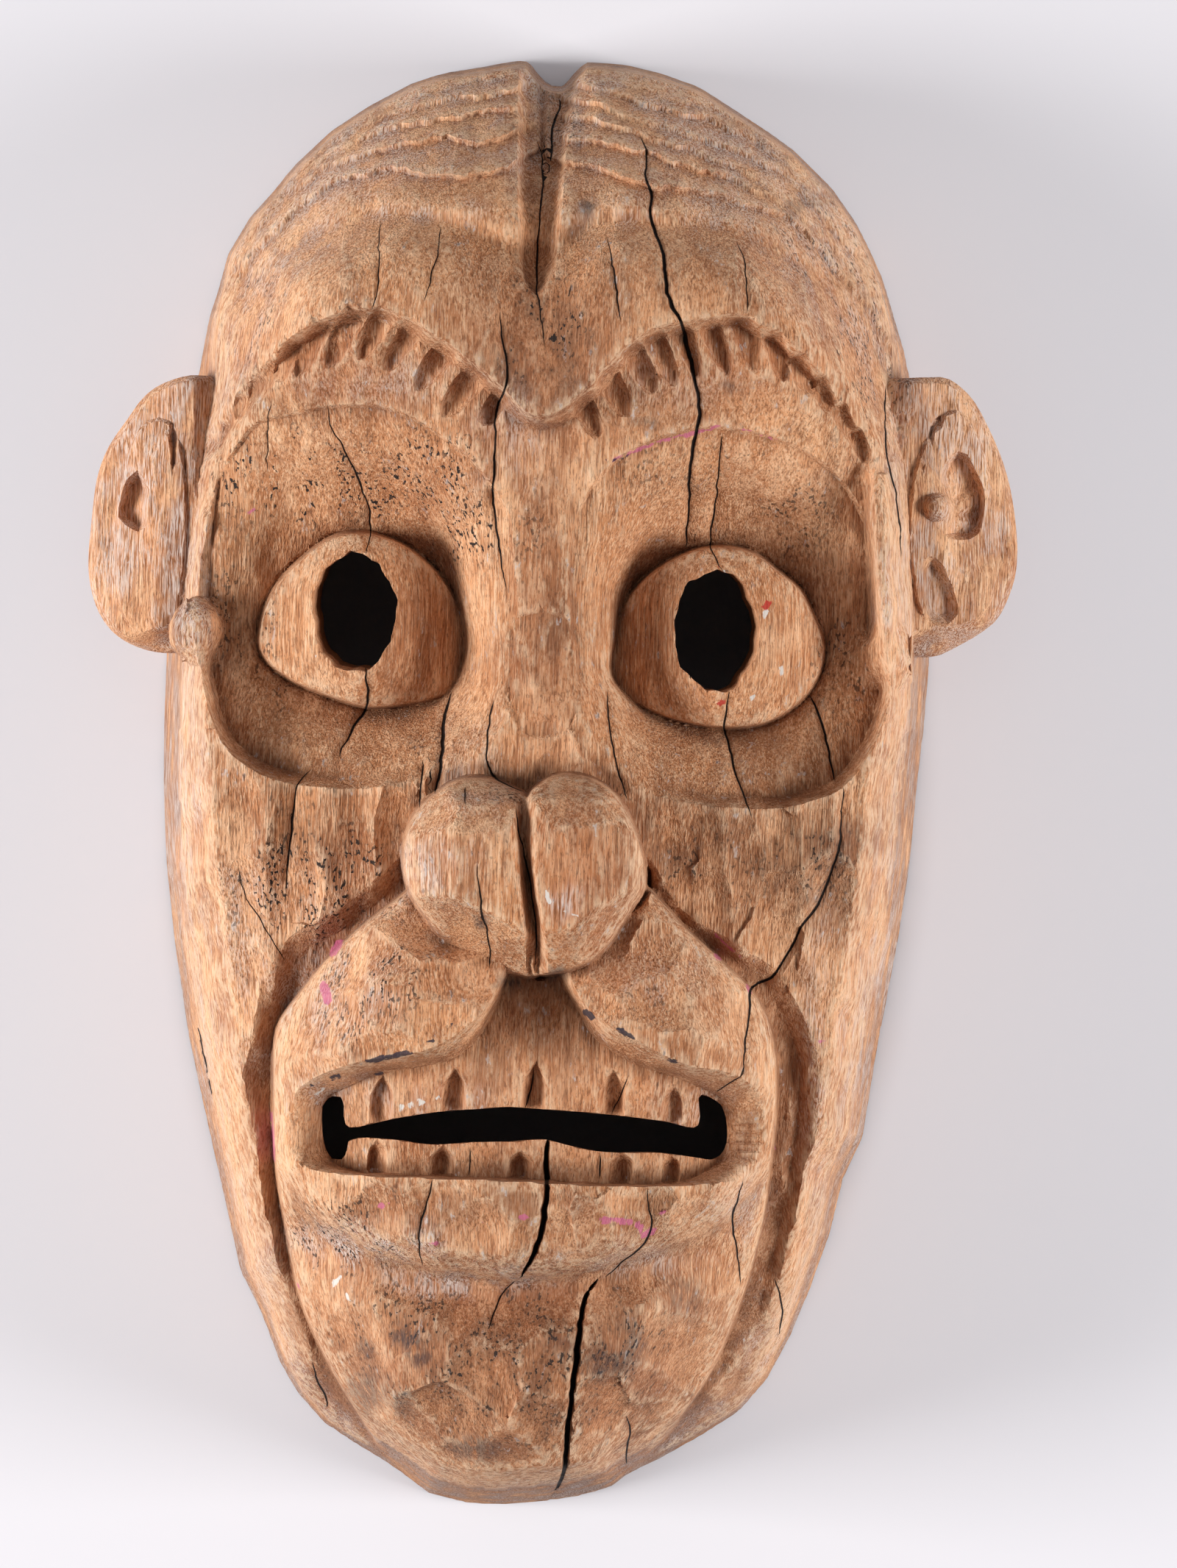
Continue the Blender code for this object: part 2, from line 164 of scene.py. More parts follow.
def lattice_noise(x, y, seed):
    """Smooth noise between -1 and 1 with a period of one."""
    table = np.random.RandomState(seed).uniform(-1, 1, (257, 257))
    xi, yi = np.floor(x).astype(int), np.floor(y).astype(int)
    fx, fy = x - xi, y - yi
    fx, fy = fx * fx * (3 - 2 * fx), fy * fy * (3 - 2 * fy)
    xi, yi = xi % 256, yi % 256
    top = table[xi, yi] * (1 - fx) + table[xi + 1, yi] * fx
    low = table[xi, yi + 1] * (1 - fx) + table[xi + 1, yi + 1] * fx
    return top * (1 - fy) + low * fy


def noise(x, y, seed, octaves=3):
    total, size = 0.0, 1.0
    for k in range(octaves):
        total = total + size * lattice_noise(x * 2**k, y * 2**k, seed + 31 * k)
        size *= 0.5
    return total / (2 - 0.5 ** (octaves - 1))


def scoops(x, y, seed, spread=0.42):
    """Squared distance to the nearest of jittered points, one to a unit cell,
    with the point's own random number."""
    rng = np.random.RandomState(seed)
    jx, jy, own = (rng.uniform(-1, 1, (128, 128)) for _ in range(3))
    xi, yi = np.floor(x).astype(int), np.floor(y).astype(int)
    best = np.full(x.shape, 1e9)
    mark = np.zeros(x.shape)
    for di in (-1, 0, 1):
        for dj in (-1, 0, 1):
            ci, cj = (xi + di) % 128, (yi + dj) % 128
            dx = xi + di + 0.5 + spread * jx[ci, cj] - x
            dy = yi + dj + 0.5 + spread * jy[ci, cj] - y
            d = dx * dx + dy * dy + 0.16 * own[ci, cj]
            near = d < best
            best = np.where(near, d, best)
            mark = np.where(near, own[ci, cj], mark)
    return best, mark


def chips(x, y, seed, spread=0.42):
    """Height of tilted planes, one to each jittered point, that meet in edges."""
    rng = np.random.RandomState(seed)
    jx, jy, own, tx, ty = (rng.uniform(-1, 1, (128, 128)) for _ in range(5))
    xi, yi = np.floor(x).astype(int), np.floor(y).astype(int)
    best = np.full(x.shape, 1e9)
    tilt = np.zeros(x.shape)
    for di in (-1, 0, 1):
        for dj in (-1, 0, 1):
            ci, cj = (xi + di) % 128, (yi + dj) % 128
            dx = xi + di + 0.5 + spread * jx[ci, cj] - x
            dy = yi + dj + 0.5 + spread * jy[ci, cj] - y
            d = dx * dx + dy * dy + 0.16 * own[ci, cj]
            near = d < best
            best = np.where(near, d, best)
            tilt = np.where(near, tx[ci, cj] * dx + 0.6 * ty[ci, cj] * dy, tilt)
    return tilt


def blur(field, radius):
    """Box blur, three times, radius in mm."""
    r = max(1, int(round(radius / STEP)))
    out = field
    for axis in (0, 1):
        for _ in range(3):
            pad = [(0, 0), (0, 0)]
            pad[axis] = (r + 1, r)
            total = np.cumsum(np.pad(out, pad, mode="edge"), axis=axis)
            n = out.shape[axis]
            if axis == 0:
                out = (total[2 * r + 1 :][:n] - total[:-2 * r - 1][:n]) / (2 * r + 1)
            else:
                out = (total[:, 2 * r + 1 :][:, :n] - total[:, : -2 * r - 1][:, :n]) / (
                    2 * r + 1
                )
    return out


def least(field, radius):
    """The lowest value within about the radius, mm, from the coarse lines."""
    out = field[::COARSE, ::COARSE]
    for _ in range(max(1, int(round(radius / (STEP * COARSE))))):
        pad = np.pad(out, 1, mode="edge")
        out = np.min(
            [pad[i : i + out.shape[0], j : j + out.shape[1]] for i in range(3) for j in range(3)],
            axis=0,
        )
    return fine(out)


def soften(field, times=1):
    out = field
    for _ in range(times):
        pad = np.pad(out, 1, mode="edge")
        out = 0.25 * pad[:-2] + 0.5 * pad[1:-1] + 0.25 * pad[2:]
        out = 0.25 * out[:, :-2] + 0.5 * out[:, 1:-1] + 0.25 * out[:, 2:]
    return out


# ------------------------------------------------------------ the layout lines
OUTLINE = [
    (720, 83), (700, 83), (650, 92), (600, 100), (560, 113), (500, 145), (450, 178),
    (400, 225), (370, 262), (340, 295), (310, 345), (298, 390), (285, 430), (275, 480),
    (266, 530), (252, 600), (240, 700), (230, 800), (226, 895), (223, 981), (222, 1066),
    (226, 1173), (237, 1279), (256, 1407), (279, 1514), (298, 1599), (327, 1729),
    (354, 1783), (381, 1854), (403, 1892), (441, 1935), (490, 1967), (522, 1986),
    (549, 2005), (582, 2030), (636, 2044), (679, 2046), (744, 2041), (788, 2034),
    (831, 2022), (852, 2005), (896, 1984), (950, 1954), (1005, 1919), (1043, 1875),
    (1075, 1816), (1102, 1751), (1129, 1675), (1146, 1604), (1173, 1546), (1194, 1418),
    (1221, 1279), (1237, 1173), (1247, 1066), (1256, 991), (1263, 906), (1264, 820),
    (1261, 746), (1253, 597), (1237, 515), (1230, 480), (1215, 430), (1200, 380),
    (1185, 345), (1165, 305), (1150, 283), (1130, 255), (1100, 225), (1080, 205),
    (1050, 183), (1000, 150), (950, 118), (900, 100), (850, 88), (797, 84), (783, 96),
    (765, 117), (745, 115), (730, 98),
]
BROW_EDGE = [
    (268, 640), (280, 600), (310, 550), (355, 500), (390, 462), (430, 438), (470, 423),
    (510, 418), (545, 428), (580, 448), (620, 475), (660, 505), (685, 527), (700, 545),
    (720, 562), (742, 566), (765, 555), (790, 535), (815, 510), (840, 480), (870, 455),
    (900, 442), (960, 432), (1005, 425), (1030, 439), (1060, 450), (1090, 480),
    (1110, 500), (1140, 540), (1160, 570), (1180, 605), (1200, 650),
]
BROW_TOP = [
    (340, 400), (400, 340), (450, 318), (500, 300), (560, 298), (620, 310), (660, 330),
    (700, 345), (735, 348), (760, 340), (800, 312), (850, 303), (900, 310), (960, 312),
    (1000, 322), (1050, 345), (1100, 380), (1150, 430), (1180, 470), (1200, 530),
]
LEDGES_L = [  # ridges across the forehead, left of its groove, outermost first
    [(735, 98), (717, 101), (681, 107), (649, 111), (623, 116), (576, 128), (534, 143),
     (507, 154), (470, 175), (444, 191), (400, 222)],
    [(735, 112), (715, 116), (681, 125), (649, 130), (618, 134), (576, 141), (534, 154),
     (497, 169), (465, 186), (434, 206), (400, 236), (360, 280)],
    [(735, 150), (707, 155), (676, 149), (649, 157), (618, 160), (576, 164), (544, 171),
     (507, 183), (470, 201), (434, 221), (402, 245), (381, 264), (345, 312)],
    [(735, 168), (707, 176), (681, 189), (660, 193), (628, 193), (597, 189), (555, 195),
     (523, 201), (497, 208), (470, 217), (444, 227), (418, 245), (392, 264), (373, 284),
     (350, 312), (320, 362)],
    [(735, 205), (705, 219), (681, 233), (655, 239), (628, 239), (597, 236), (565, 233),
     (534, 232), (502, 234), (470, 240), (449, 250), (423, 267), (397, 289), (376, 311),
     (349, 340), (326, 374), (302, 420), (286, 480)],
]
LEDGES_R = [
    [(740, 96), (804, 107), (848, 114), (895, 131), (954, 144), (995, 160), (1025, 180),
     (1066, 214)],
    [(740, 110), (789, 117), (825, 125), (866, 141), (913, 152), (960, 163), (1007, 182),
     (1042, 202), (1072, 227), (1107, 262)],
    [(740, 130), (786, 139), (819, 146), (854, 160), (901, 175), (948, 187), (984, 198),
     (1019, 214), (1066, 238), (1101, 270), (1125, 300), (1158, 342)],
    [(740, 155), (789, 162), (813, 167), (848, 177), (872, 185), (913, 197), (954, 209),
     (995, 226), (1036, 247), (1078, 277), (1107, 307), (1136, 343), (1176, 396)],
    [(740, 186), (784, 192), (819, 195), (860, 204), (901, 215), (936, 226), (978, 238),
     (1019, 252), (1054, 270), (1089, 293), (1125, 328), (1154, 366), (1181, 406),
     (1204, 450)],
    [(740, 218), (772, 221), (807, 226), (836, 236), (878, 250), (913, 257), (954, 264),
     (995, 271), (1025, 278), (1060, 290), (1089, 311), (1119, 343), (1142, 373),
     (1172, 407), (1195, 438), (1216, 480), (1226, 520)],
]
EYE_BAND = [
    (300, 450), (292, 560), (284, 640), (276, 700), (270, 780), (268, 840), (272, 905),
    (280, 950), (290, 985), (310, 1020), (340, 1045), (380, 1062), (450, 1072),
    (500, 1072), (550, 1065), (600, 1055), (640, 1035), (672, 1000), (700, 985),
    (760, 985), (800, 1005), (825, 1040), (850, 1062), (870, 1075), (900, 1085),
    (950, 1095), (1000, 1098), (1050, 1100), (1100, 1090), (1140, 1075), (1165, 1050),
    (1190, 1010), (1205, 970), (1212, 930), (1200, 880), (1194, 800), (1190, 700),
    (1185, 620), (1180, 560), (1160, 440), (900, 350), (500, 340),
]
BOWL_L = [
    (268, 840), (272, 905), (280, 950), (290, 985), (310, 1020), (340, 1045),
    (380, 1062), (450, 1072), (500, 1072), (550, 1065), (600, 1055), (640, 1038),
    (676, 1004), (698, 950), (703, 880), (702, 800), (699, 740), (694, 700),
    (668, 655), (640, 620), (600, 590), (560, 565), (520, 551), (450, 550),
    (400, 560), (350, 572), (325, 600), (300, 640), (285, 700), (272, 770),
]
BOWL_R = [
    (1208, 905), (1205, 970), (1190, 1010), (1165, 1050), (1140, 1075), (1100, 1090),
    (1050, 1100), (1000, 1099), (950, 1095), (900, 1086), (870, 1076), (840, 1056),
    (812, 1024), (795, 980), (780, 900), (771, 820), (772, 740), (786, 690),
    (812, 648), (850, 614), (900, 592), (960, 579), (1020, 585), (1080, 603),
    (1120, 628), (1158, 668), (1184, 725), (1196, 800), (1204, 860),
]
EYE_L = [
    (350, 880), (365, 905), (400, 930), (450, 950), (500, 964), (560, 959), (600, 949),
    (620, 928), (632, 880), (627, 830), (603, 785), (560, 745), (520, 727), (490, 721),
    (450, 728), (400, 765), (370, 800), (352, 845),
]
EYE_R = [
    (830, 920), (835, 870), (850, 815), (880, 780), (920, 755), (960, 742), (1000, 742),
    (1030, 752), (1060, 775), (1090, 800), (1110, 840), (1122, 870), (1120, 905),
    (1100, 945), (1050, 982), (1000, 992), (950, 988), (900, 975), (860, 955),
]
MUZZLE = [
    (560, 1205), (530, 1228), (498, 1252), (446, 1301), (410, 1346), (379, 1389),
    (372, 1424), (371, 1501), (375, 1589), (389, 1676), (408, 1767), (446, 1854),
    (484, 1919), (522, 1978), (560, 2040), (700, 2080), (840, 2050), (875, 1984),
    (907, 1951), (961, 1875), (999, 1794), (1021, 1729), (1040, 1648), (1050, 1571),
    (1057, 1483), (1053, 1424), (1043, 1381), (1022, 1346), (983, 1308), (931, 1259),
    (884, 1208), (850, 1180), (715, 1160), (600, 1180),
]
CHANNEL = [
    (560, 1150), (509, 1196), (463, 1234), (393, 1275), (368, 1318), (351, 1357),
    (340, 1424), (328, 1466), (327, 1536), (338, 1606), (354, 1700), (370, 1767),
    (398, 1848), (420, 1910), (470, 1990), (600, 2100), (850, 2100), (985, 1960),
    (1043, 1835), (1070, 1740), (1088, 1659), (1102, 1588), (1109, 1529), (1115, 1448),
    (1108, 1420), (1081, 1360), (1053, 1318), (1001, 1283), (924, 1234), (880, 1160),
    (840, 1120), (700, 1100), (600, 1120),
]
NOSE_L = [
    (546, 1178), (549, 1140), (563, 1103), (592, 1076), (626, 1057), (669, 1057),
    (700, 1070), (716, 1078), (722, 1110), (730, 1200), (735, 1290), (730, 1330),
    (700, 1327), (672, 1322), (629, 1310), (598, 1280), (578, 1250), (556, 1216),
]
NOSE_R = [
    (716, 1078), (735, 1062), (758, 1051), (801, 1055), (828, 1070), (847, 1089),
    (868, 1135), (879, 1180), (878, 1210), (852, 1250), (830, 1285), (805, 1308),
    (770, 1322), (744, 1327), (724, 1328), (720, 1290), (716, 1200), (714, 1110),
]
LIPS = [  # outer line of the cut band that leads down to the teeth
    (684, 1325), (656, 1375), (621, 1406), (580, 1428), (537, 1436), (481, 1446),
    (430, 1464), (402, 1484), (394, 1510), (395, 1562), (407, 1584), (456, 1595),
    (551, 1600), (691, 1605), (745, 1608), (860, 1613), (952, 1610), (1010, 1602),
    (1038, 1566), (1040, 1515), (1024, 1478), (995, 1460), (931, 1447), (860, 1411),
    (803, 1374), (775, 1329), (765, 1300), (700, 1290),
]
TEETH = [  # inner line, at the foot of the band
    (690, 1330), (676, 1365), (649, 1413), (615, 1440), (560, 1452), (510, 1462),
    (470, 1480), (446, 1492), (441, 1530), (446, 1574), (480, 1592), (551, 1598),
    (691, 1603), (745, 1606), (860, 1611), (930, 1607), (962, 1590), (986, 1570),
    (990, 1530), (980, 1495), (950, 1478), (917, 1464), (860, 1446), (808, 1411),
    (783, 1370), (757, 1330), (750, 1300), (700, 1300),
]
GAP = [
    (440, 1500), (452, 1490), (466, 1494), (470, 1531), (500, 1529), (537, 1521),
    (603, 1511), (650, 1508), (691, 1505), (720, 1507), (790, 1512), (860, 1519),
    (905, 1525), (949, 1532), (951, 1488), (965, 1492), (980, 1502), (988, 1530),
    (986, 1560), (972, 1576), (948, 1574), (895, 1567), (818, 1566), (760, 1554),
    (742, 1549), (691, 1552), (640, 1553), (586, 1556), (533, 1549), (474, 1551),
    (470, 1574), (452, 1576), (442, 1560), (438, 1530),
]
FOREHEAD_GROOVE = [
    (712, 60), (706, 110), (704, 200), (705, 300), (707, 360), (713, 388), (727, 400),
    (741, 392), (752, 368), (760, 320), (766, 250), (771, 190), (782, 125), (800, 60),
]
EAR_L = [
    (300, 520), (267, 510), (235, 516), (208, 529), (190, 546), (176, 566), (148, 607),
    (133, 646), (124, 713), (120, 767), (124, 802), (135, 834), (153, 859), (180, 877),
    (223, 888), (270, 880), (310, 800), (320, 650),
]
EAR_R = [
    (1200, 520), (1236, 514), (1265, 513), (1287, 514), (1319, 539), (1341, 576),
    (1364, 630), (1376, 678), (1383, 751), (1378, 792), (1357, 840), (1341, 855),
    (1309, 875), (1263, 894), (1215, 880), (1180, 800), (1175, 650),
]

# heights of the broad surfaces over the rim plane: u, v, mm
CHEEKS = [
    (260, 600, 62), (275, 700, 71), (262, 900, 74), (285, 1000, 77), (1225, 600, 62),
    (1215, 700, 71), (1225, 850, 73), (1215, 1000, 77), (330, 1100, 79),
    (450, 1110, 84), (560, 1100, 86), (640, 1050, 88), (290, 1250, 70),
    (400, 1230, 79), (500, 1180, 83), (310, 1400, 66), (318, 1550, 60),
    (335, 1700, 50), (380, 1860, 36), (420, 1930, 26), (1140, 1130, 79),
    (1030, 1140, 84), (920, 1120, 86), (860, 1060, 88), (1190, 1250, 70),
    (1080, 1240, 79), (960, 1190, 83), (1150, 1400, 68), (1135, 1550, 62),
    (1110, 1700, 50), (1070, 1800, 40), (1010, 1900, 28), (715, 1040, 90),
    (715, 1200, 88), (690, 1700, 84), (690, 1980, 60), (700, 700, 84), (480, 700, 80),
    (980, 700, 80),
]
BROW = [
    (735, 120, 78), (735, 200, 80), (735, 300, 85), (735, 400, 91), (735, 500, 96),
    (735, 560, 99), (500, 420, 97), (500, 350, 92), (500, 250, 80), (620, 450, 98),
    (400, 460, 90), (400, 380, 85), (400, 280, 72), (300, 580, 70), (300, 450, 66),
    (330, 330, 62), (960, 432, 97), (960, 360, 92), (960, 250, 80), (850, 450, 98),
    (1080, 480, 90), (1080, 400, 85), (1080, 300, 74), (1170, 600, 71),
    (1190, 480, 66), (1140, 340, 64), (600, 350, 94), (850, 350, 94),
]
SOCKETS = [
    (350, 840, 59), (420, 740, 60), (500, 720, 61), (600, 770, 62), (640, 880, 64),
    (610, 950, 68), (500, 968, 67), (400, 940, 65), (345, 890, 61), (430, 550, 78),
    (520, 550, 81), (600, 590, 83), (660, 645, 86), (350, 580, 69), (300, 660, 64),
    (285, 760, 62), (470, 640, 69), (390, 650, 65), (560, 660, 72), (630, 730, 73),
    (700, 700, 86), (703, 850, 89), (706, 1000, 90), (735, 620, 92), (760, 700, 89),
    (775, 850, 88), (780, 1000, 89), (735, 1040, 90), (668, 850, 77), (668, 950, 77),
    (826, 920, 65), (845, 815, 63), (915, 750, 62), (1000, 738, 60), (1080, 775, 59),
    (1125, 870, 60), (1112, 935, 64), (1050, 986, 67), (950, 994, 68), (858, 960, 68),
    (820, 620, 86), (880, 600, 84), (960, 580, 81), (1060, 595, 77), (1130, 640, 70),
    (1180, 700, 64), (1190, 790, 62), (980, 665, 69), (900, 680, 74), (1080, 680, 66),
    (850, 730, 76), (800, 850, 78), (800, 940, 78), (735, 500, 94), (500, 420, 86),
    (960, 430, 86), (380, 470, 78), (1090, 480, 78),
]
UNDER = [  # the band under the brow and the bridge of the nose
    (300, 450, 60), (300, 620, 62), (320, 560, 68), (390, 500, 78), (480, 440, 88),
    (560, 470, 88), (640, 540, 87), (700, 600, 86), (340, 600, 68), (400, 560, 75),
    (450, 550, 79), (520, 552, 82), (560, 566, 84), (600, 590, 85), (640, 620, 87),
    (668, 655, 86), (694, 700, 87), (740, 600, 87), (740, 700, 88), (740, 850, 90),
    (740, 1000, 92), (700, 850, 88), (775, 850, 88), (700, 1000, 90), (790, 990, 90),
    (790, 600, 86), (812, 648, 86), (850, 614, 85), (900, 592, 84), (960, 579, 82),
    (1020, 585, 80), (1080, 603, 76), (1120, 628, 72), (1158, 668, 66),
    (860, 490, 90), (960, 440, 88), (1060, 465, 85), (1120, 530, 78), (1170, 610, 68),
    (1190, 720, 62), (1195, 800, 60), (275, 760, 62), (270, 880, 61), (1190, 450, 60),
    (640, 1080, 92), (820, 1080, 92),
]
LIPS_AND_CHIN = [
    (600, 1290, 105), (640, 1330, 108), (810, 1310, 105), (860, 1350, 109),
    (520, 1330, 109), (450, 1400, 101), (405, 1450, 92), (560, 1400, 112),
    (500, 1430, 108), (900, 1390, 111), (960, 1430, 107), (1015, 1450, 96),
    (950, 1340, 104), (1035, 1440, 91), (551, 1225, 98), (880, 1225, 98),
    (480, 1290, 97), (420, 1370, 91), (950, 1290, 97), (1020, 1370, 92),
    (383, 1530, 84), (1047, 1530, 82), (430, 1598, 92), (560, 1615, 108),
    (700, 1618, 113), (850, 1620, 110), (980, 1615, 94), (600, 1680, 107),
    (700, 1694, 109), (820, 1685, 107), (490, 1645, 98), (930, 1650, 98),
    (402, 1645, 80), (463, 1690, 88), (544, 1728, 96), (625, 1742, 100),
    (707, 1747, 102), (788, 1740, 100), (842, 1728, 97), (923, 1700, 89),
    (1000, 1662, 80), (480, 1770, 84), (600, 1795, 98), (700, 1812, 101),
    (800, 1810, 99), (900, 1780, 88), (430, 1760, 70), (972, 1740, 74),
    (520, 1900, 78), (600, 1900, 92), (700, 1920, 97), (800, 1910, 91),
    (880, 1880, 76), (560, 1970, 70), (650, 1990, 84), (720, 1992, 85),
    (800, 1980, 78), (850, 1955, 66), (400, 1690, 68), (1030, 1650, 74),
    (1005, 1745, 62), (460, 1860, 62), (500, 1930, 58), (930, 1880, 60),
]
TEETH_PLANE = [
    (720, 1340, 95), (720, 1400, 97), (720, 1450, 98), (720, 1510, 97),
    (620, 1450, 97), (520, 1480, 93), (450, 1500, 85), (445, 1560, 83),
    (860, 1470, 97), (930, 1490, 92), (985, 1520, 85), (520, 1580, 90),
    (720, 1590, 94), (900, 1590, 91), (980, 1580, 84), (640, 1500, 96), (840, 1500, 96),
    (670, 1400, 97), (780, 1400, 97),
]
# planes that the two lobes of the nose are cut from: a point on each, u, v and
# height, then its fall in mm to the mm towards +u and +v
PLANES_L = [
    (650, 1190, 126.0, 0.03, 0.00), (616, 1180, 125.4, -0.72, 0.02),
    (574, 1190, 121.4, -1.90, 0.10), (618, 1250, 124.6, -0.62, 0.95),
    (660, 1272, 125.0, 0.02, 1.05), (655, 1128, 125.4, 0.02, -0.62),
    (650, 1094, 121.5, 0.00, -1.70), (604, 1122, 122.6, -0.95, -0.90),
    (694, 1170, 125.6, 0.70, -0.10), (564, 1225, 116.0, -0.80, 1.70),
]
PLANES_R = [
    (790, 1190, 126.6, -0.03, 0.00), (822, 1165, 126.0, 0.70, 0.02),
    (858, 1180, 121.5, 1.90, 0.10), (818, 1236, 125.0, 0.72, 0.85),
    (780, 1268, 125.4, 0.05, 1.05), (785, 1120, 126.0, -0.02, -0.60),
    (786, 1086, 122.0, 0.00, -1.60), (836, 1112, 122.6, 0.95, -0.85),
    (742, 1150, 126.0, -0.55, -0.15), (862, 1228, 115.5, 1.40, 1.20),
]
HOLES = [  # pupils: centre, half width, half height, and how the wall leans
    (480.0, 833.0, 57.0, 80.0, 0.10, 0.06),
    (975.0, 858.0, 57.0, 82.0, -0.09, 0.02),
]
WARTS = [(266.0, 858.0, 64.0, 6.6), (1206.0, 892.0, 62.0, 6.2)]
NOTCHES = [  # u, v of the top, length, width, lean
    (288, 590, 38, 18, -30), (302, 570, 42, 20, -26), (322, 533, 46, 22, -20),
    (340, 510, 50, 24, -18), (365, 485, 52, 30, -22), (398, 455, 54, 26, -22),
    (434, 434, 70, 30, -24), (478, 420, 72, 32, -26), (520, 420, 62, 30, -30),
    (560, 437, 62, 30, -34), (604, 466, 62, 32, -36), (645, 500, 66, 34, -38),
    (680, 528, 44, 26, -34), (790, 535, 50, 30, 26), (826, 500, 58, 32, 26),
    (862, 468, 58, 32, 26), (890, 452, 62, 30, 24), (928, 442, 60, 26, 20),
    (966, 436, 62, 30, 22), (1012, 432, 60, 34, 16), (1052, 452, 54, 28, 16),
    (1086, 480, 46, 28, 18), (1112, 508, 42, 26, 22), (1140, 545, 40, 24, 26),
    (1162, 580, 40, 22, 28),
]
TOOTH_CUTS = [  # between the teeth: u, top v, bottom v, half width, depth
    (521, 1458, 1524, 15, 3.0), (619, 1450, 1514, 17, 3.4), (728, 1442, 1510, 16, 3.2),
    (834, 1452, 1518, 17, 3.2), (915, 1474, 1528, 14, 3.0), (514, 1548, 1588, 13, 2.6),
    (602, 1556, 1598, 17, 3.0), (708, 1562, 1602, 16, 2.8), (844, 1564, 1605, 18, 3.0),
    (912, 1566, 1606, 13, 2.6),
]

# drying cracks: half width in units at the widest, then the line
CRACKS = [
    (2.9, [(872, 185), (880, 215), (878, 240), (886, 262), (884, 290), (890, 315),
           (900, 345), (905, 380), (910, 410), (925, 435), (932, 465), (941, 500),
           (947, 530), (950, 570), (944, 600), (938, 640), (936, 690), (933, 745)]),
    (1.6, [(982, 590), (977, 640), (972, 690), (966, 742), (976, 765), (984, 778)]),
    (1.8, [(992, 936), (985, 990), (992, 1020), (1000, 1050), (1014, 1090), (1022, 1115)]),
    (1.5, [(762, 118), (760, 150), (752, 170), (750, 200), (747, 240)]),
    (1.5, [(730, 190), (737, 220), (737, 260), (733, 300), (731, 345), (730, 395),
           (735, 430), (742, 475)]),
    (1.8, [(678, 425), (683, 460), (689, 500), (686, 530), (676, 552), (673, 600),
           (671, 680), (675, 720), (681, 760), (688, 805)]),
    (1.2, [(520, 300), (516, 320), (515, 360), (512, 400), (505, 422)]),
    (1.2, [(598, 305), (595, 340), (585, 380), (575, 412)]),
    (1.5, [(445, 548), (450, 580), (465, 605), (480, 635), (492, 665), (502, 695),
           (503, 725), (497, 755)]),
    (2.0, [(497, 903), (498, 960), (480, 990), (468, 1012), (461, 1030)]),
    (1.0, [(370, 540), (364, 580), (363, 645)]),
    (1.6, [(425, 1045), (404, 1070), (398, 1110), (393, 1160), (388, 1215)]),
    (2.8, [(613, 940), (603, 985), (602, 1020), (597, 1050), (591, 1078)]),
    (1.6, [(575, 1035), (572, 1060), (571, 1098)]),
    (1.6, [(672, 950), (664, 990), (662, 1035), (672, 1056), (692, 1068), (714, 1077)]),
    (1.6, [(825, 938), (828, 980), (835, 1030), (843, 1060), (852, 1088)]),
    (1.8, [(1100, 945), (1118, 985), (1128, 1030), (1134, 1062)]),
    (2.0, [(1146, 1070), (1144, 1110), (1141, 1150), (1128, 1190), (1112, 1230),
           (1090, 1260), (1068, 1300), (1050, 1328), (1022, 1342), (1018, 1380),
           (1012, 1430), (1008, 1468)]),
    (1.4, [(1205, 520), (1203, 560), (1206, 620), (1215, 660), (1222, 700), (1226, 760)]),
    (1.2, [(1000, 325), (1012, 360), (1017, 425)]),
    (1.2, [(825, 320), (835, 370), (844, 440)]),
    (4.2, [(744, 1548), (742, 1580), (744, 1606), (740, 1648), (732, 1690), (720, 1715),
           (708, 1738)]),
    (4.1, [(814, 1738), (800, 1756), (791, 1780), (787, 1821), (779, 1881), (772, 1940),
           (766, 2000), (745, 2044)]),
    (1.6, [(588, 1602), (580, 1640), (571, 1668), (570, 1700), (576, 1722)]),
    (1.4, [(700, 1740), (682, 1760), (674, 1780), (664, 1808)]),
    (1.5, [(879, 1612), (882, 1640), (886, 1665), (876, 1690), (850, 1712), (822, 1738)]),
    (1.5, [(1011, 1604), (1003, 1630), (995, 1653), (1000, 1690), (1006, 1750)]),
    (1.4, [(700, 1090), (704, 1120), (712, 1160), (721, 1200), (727, 1240), (729, 1290),
           (727, 1322)]),
    (1.2, [(633, 1068), (633, 1095)]),
    (1.4, [(648, 1170), (652, 1210), (656, 1245), (663, 1270), (666, 1300), (664, 1320)]),
    (1.3, [(727, 1450), (722, 1480), (714, 1508)]),
    (1.2, [(855, 1462), (842, 1490), (830, 1515)]),
    (1.1, [(323, 1175), (335, 1220), (360, 1260), (378, 1290), (388, 1308)]),
    (1.2, [(265, 1385), (275, 1420), (283, 1470), (290, 1500)]),
    (1.4, [(425, 1850), (432, 1880), (443, 1900), (444, 1925)]),
    (1.5, [(851, 1925), (858, 1945), (852, 1970), (850, 1995)]),
    (1.3, [(1052, 1735), (1062, 1770), (1060, 1820)]),
    (1.2, [(640, 1560), (638, 1600)]),
    (1.2, [(816, 1568), (814, 1604)]),
    (1.3, [(1010, 1462), (990, 1474), (970, 1486)]),
]


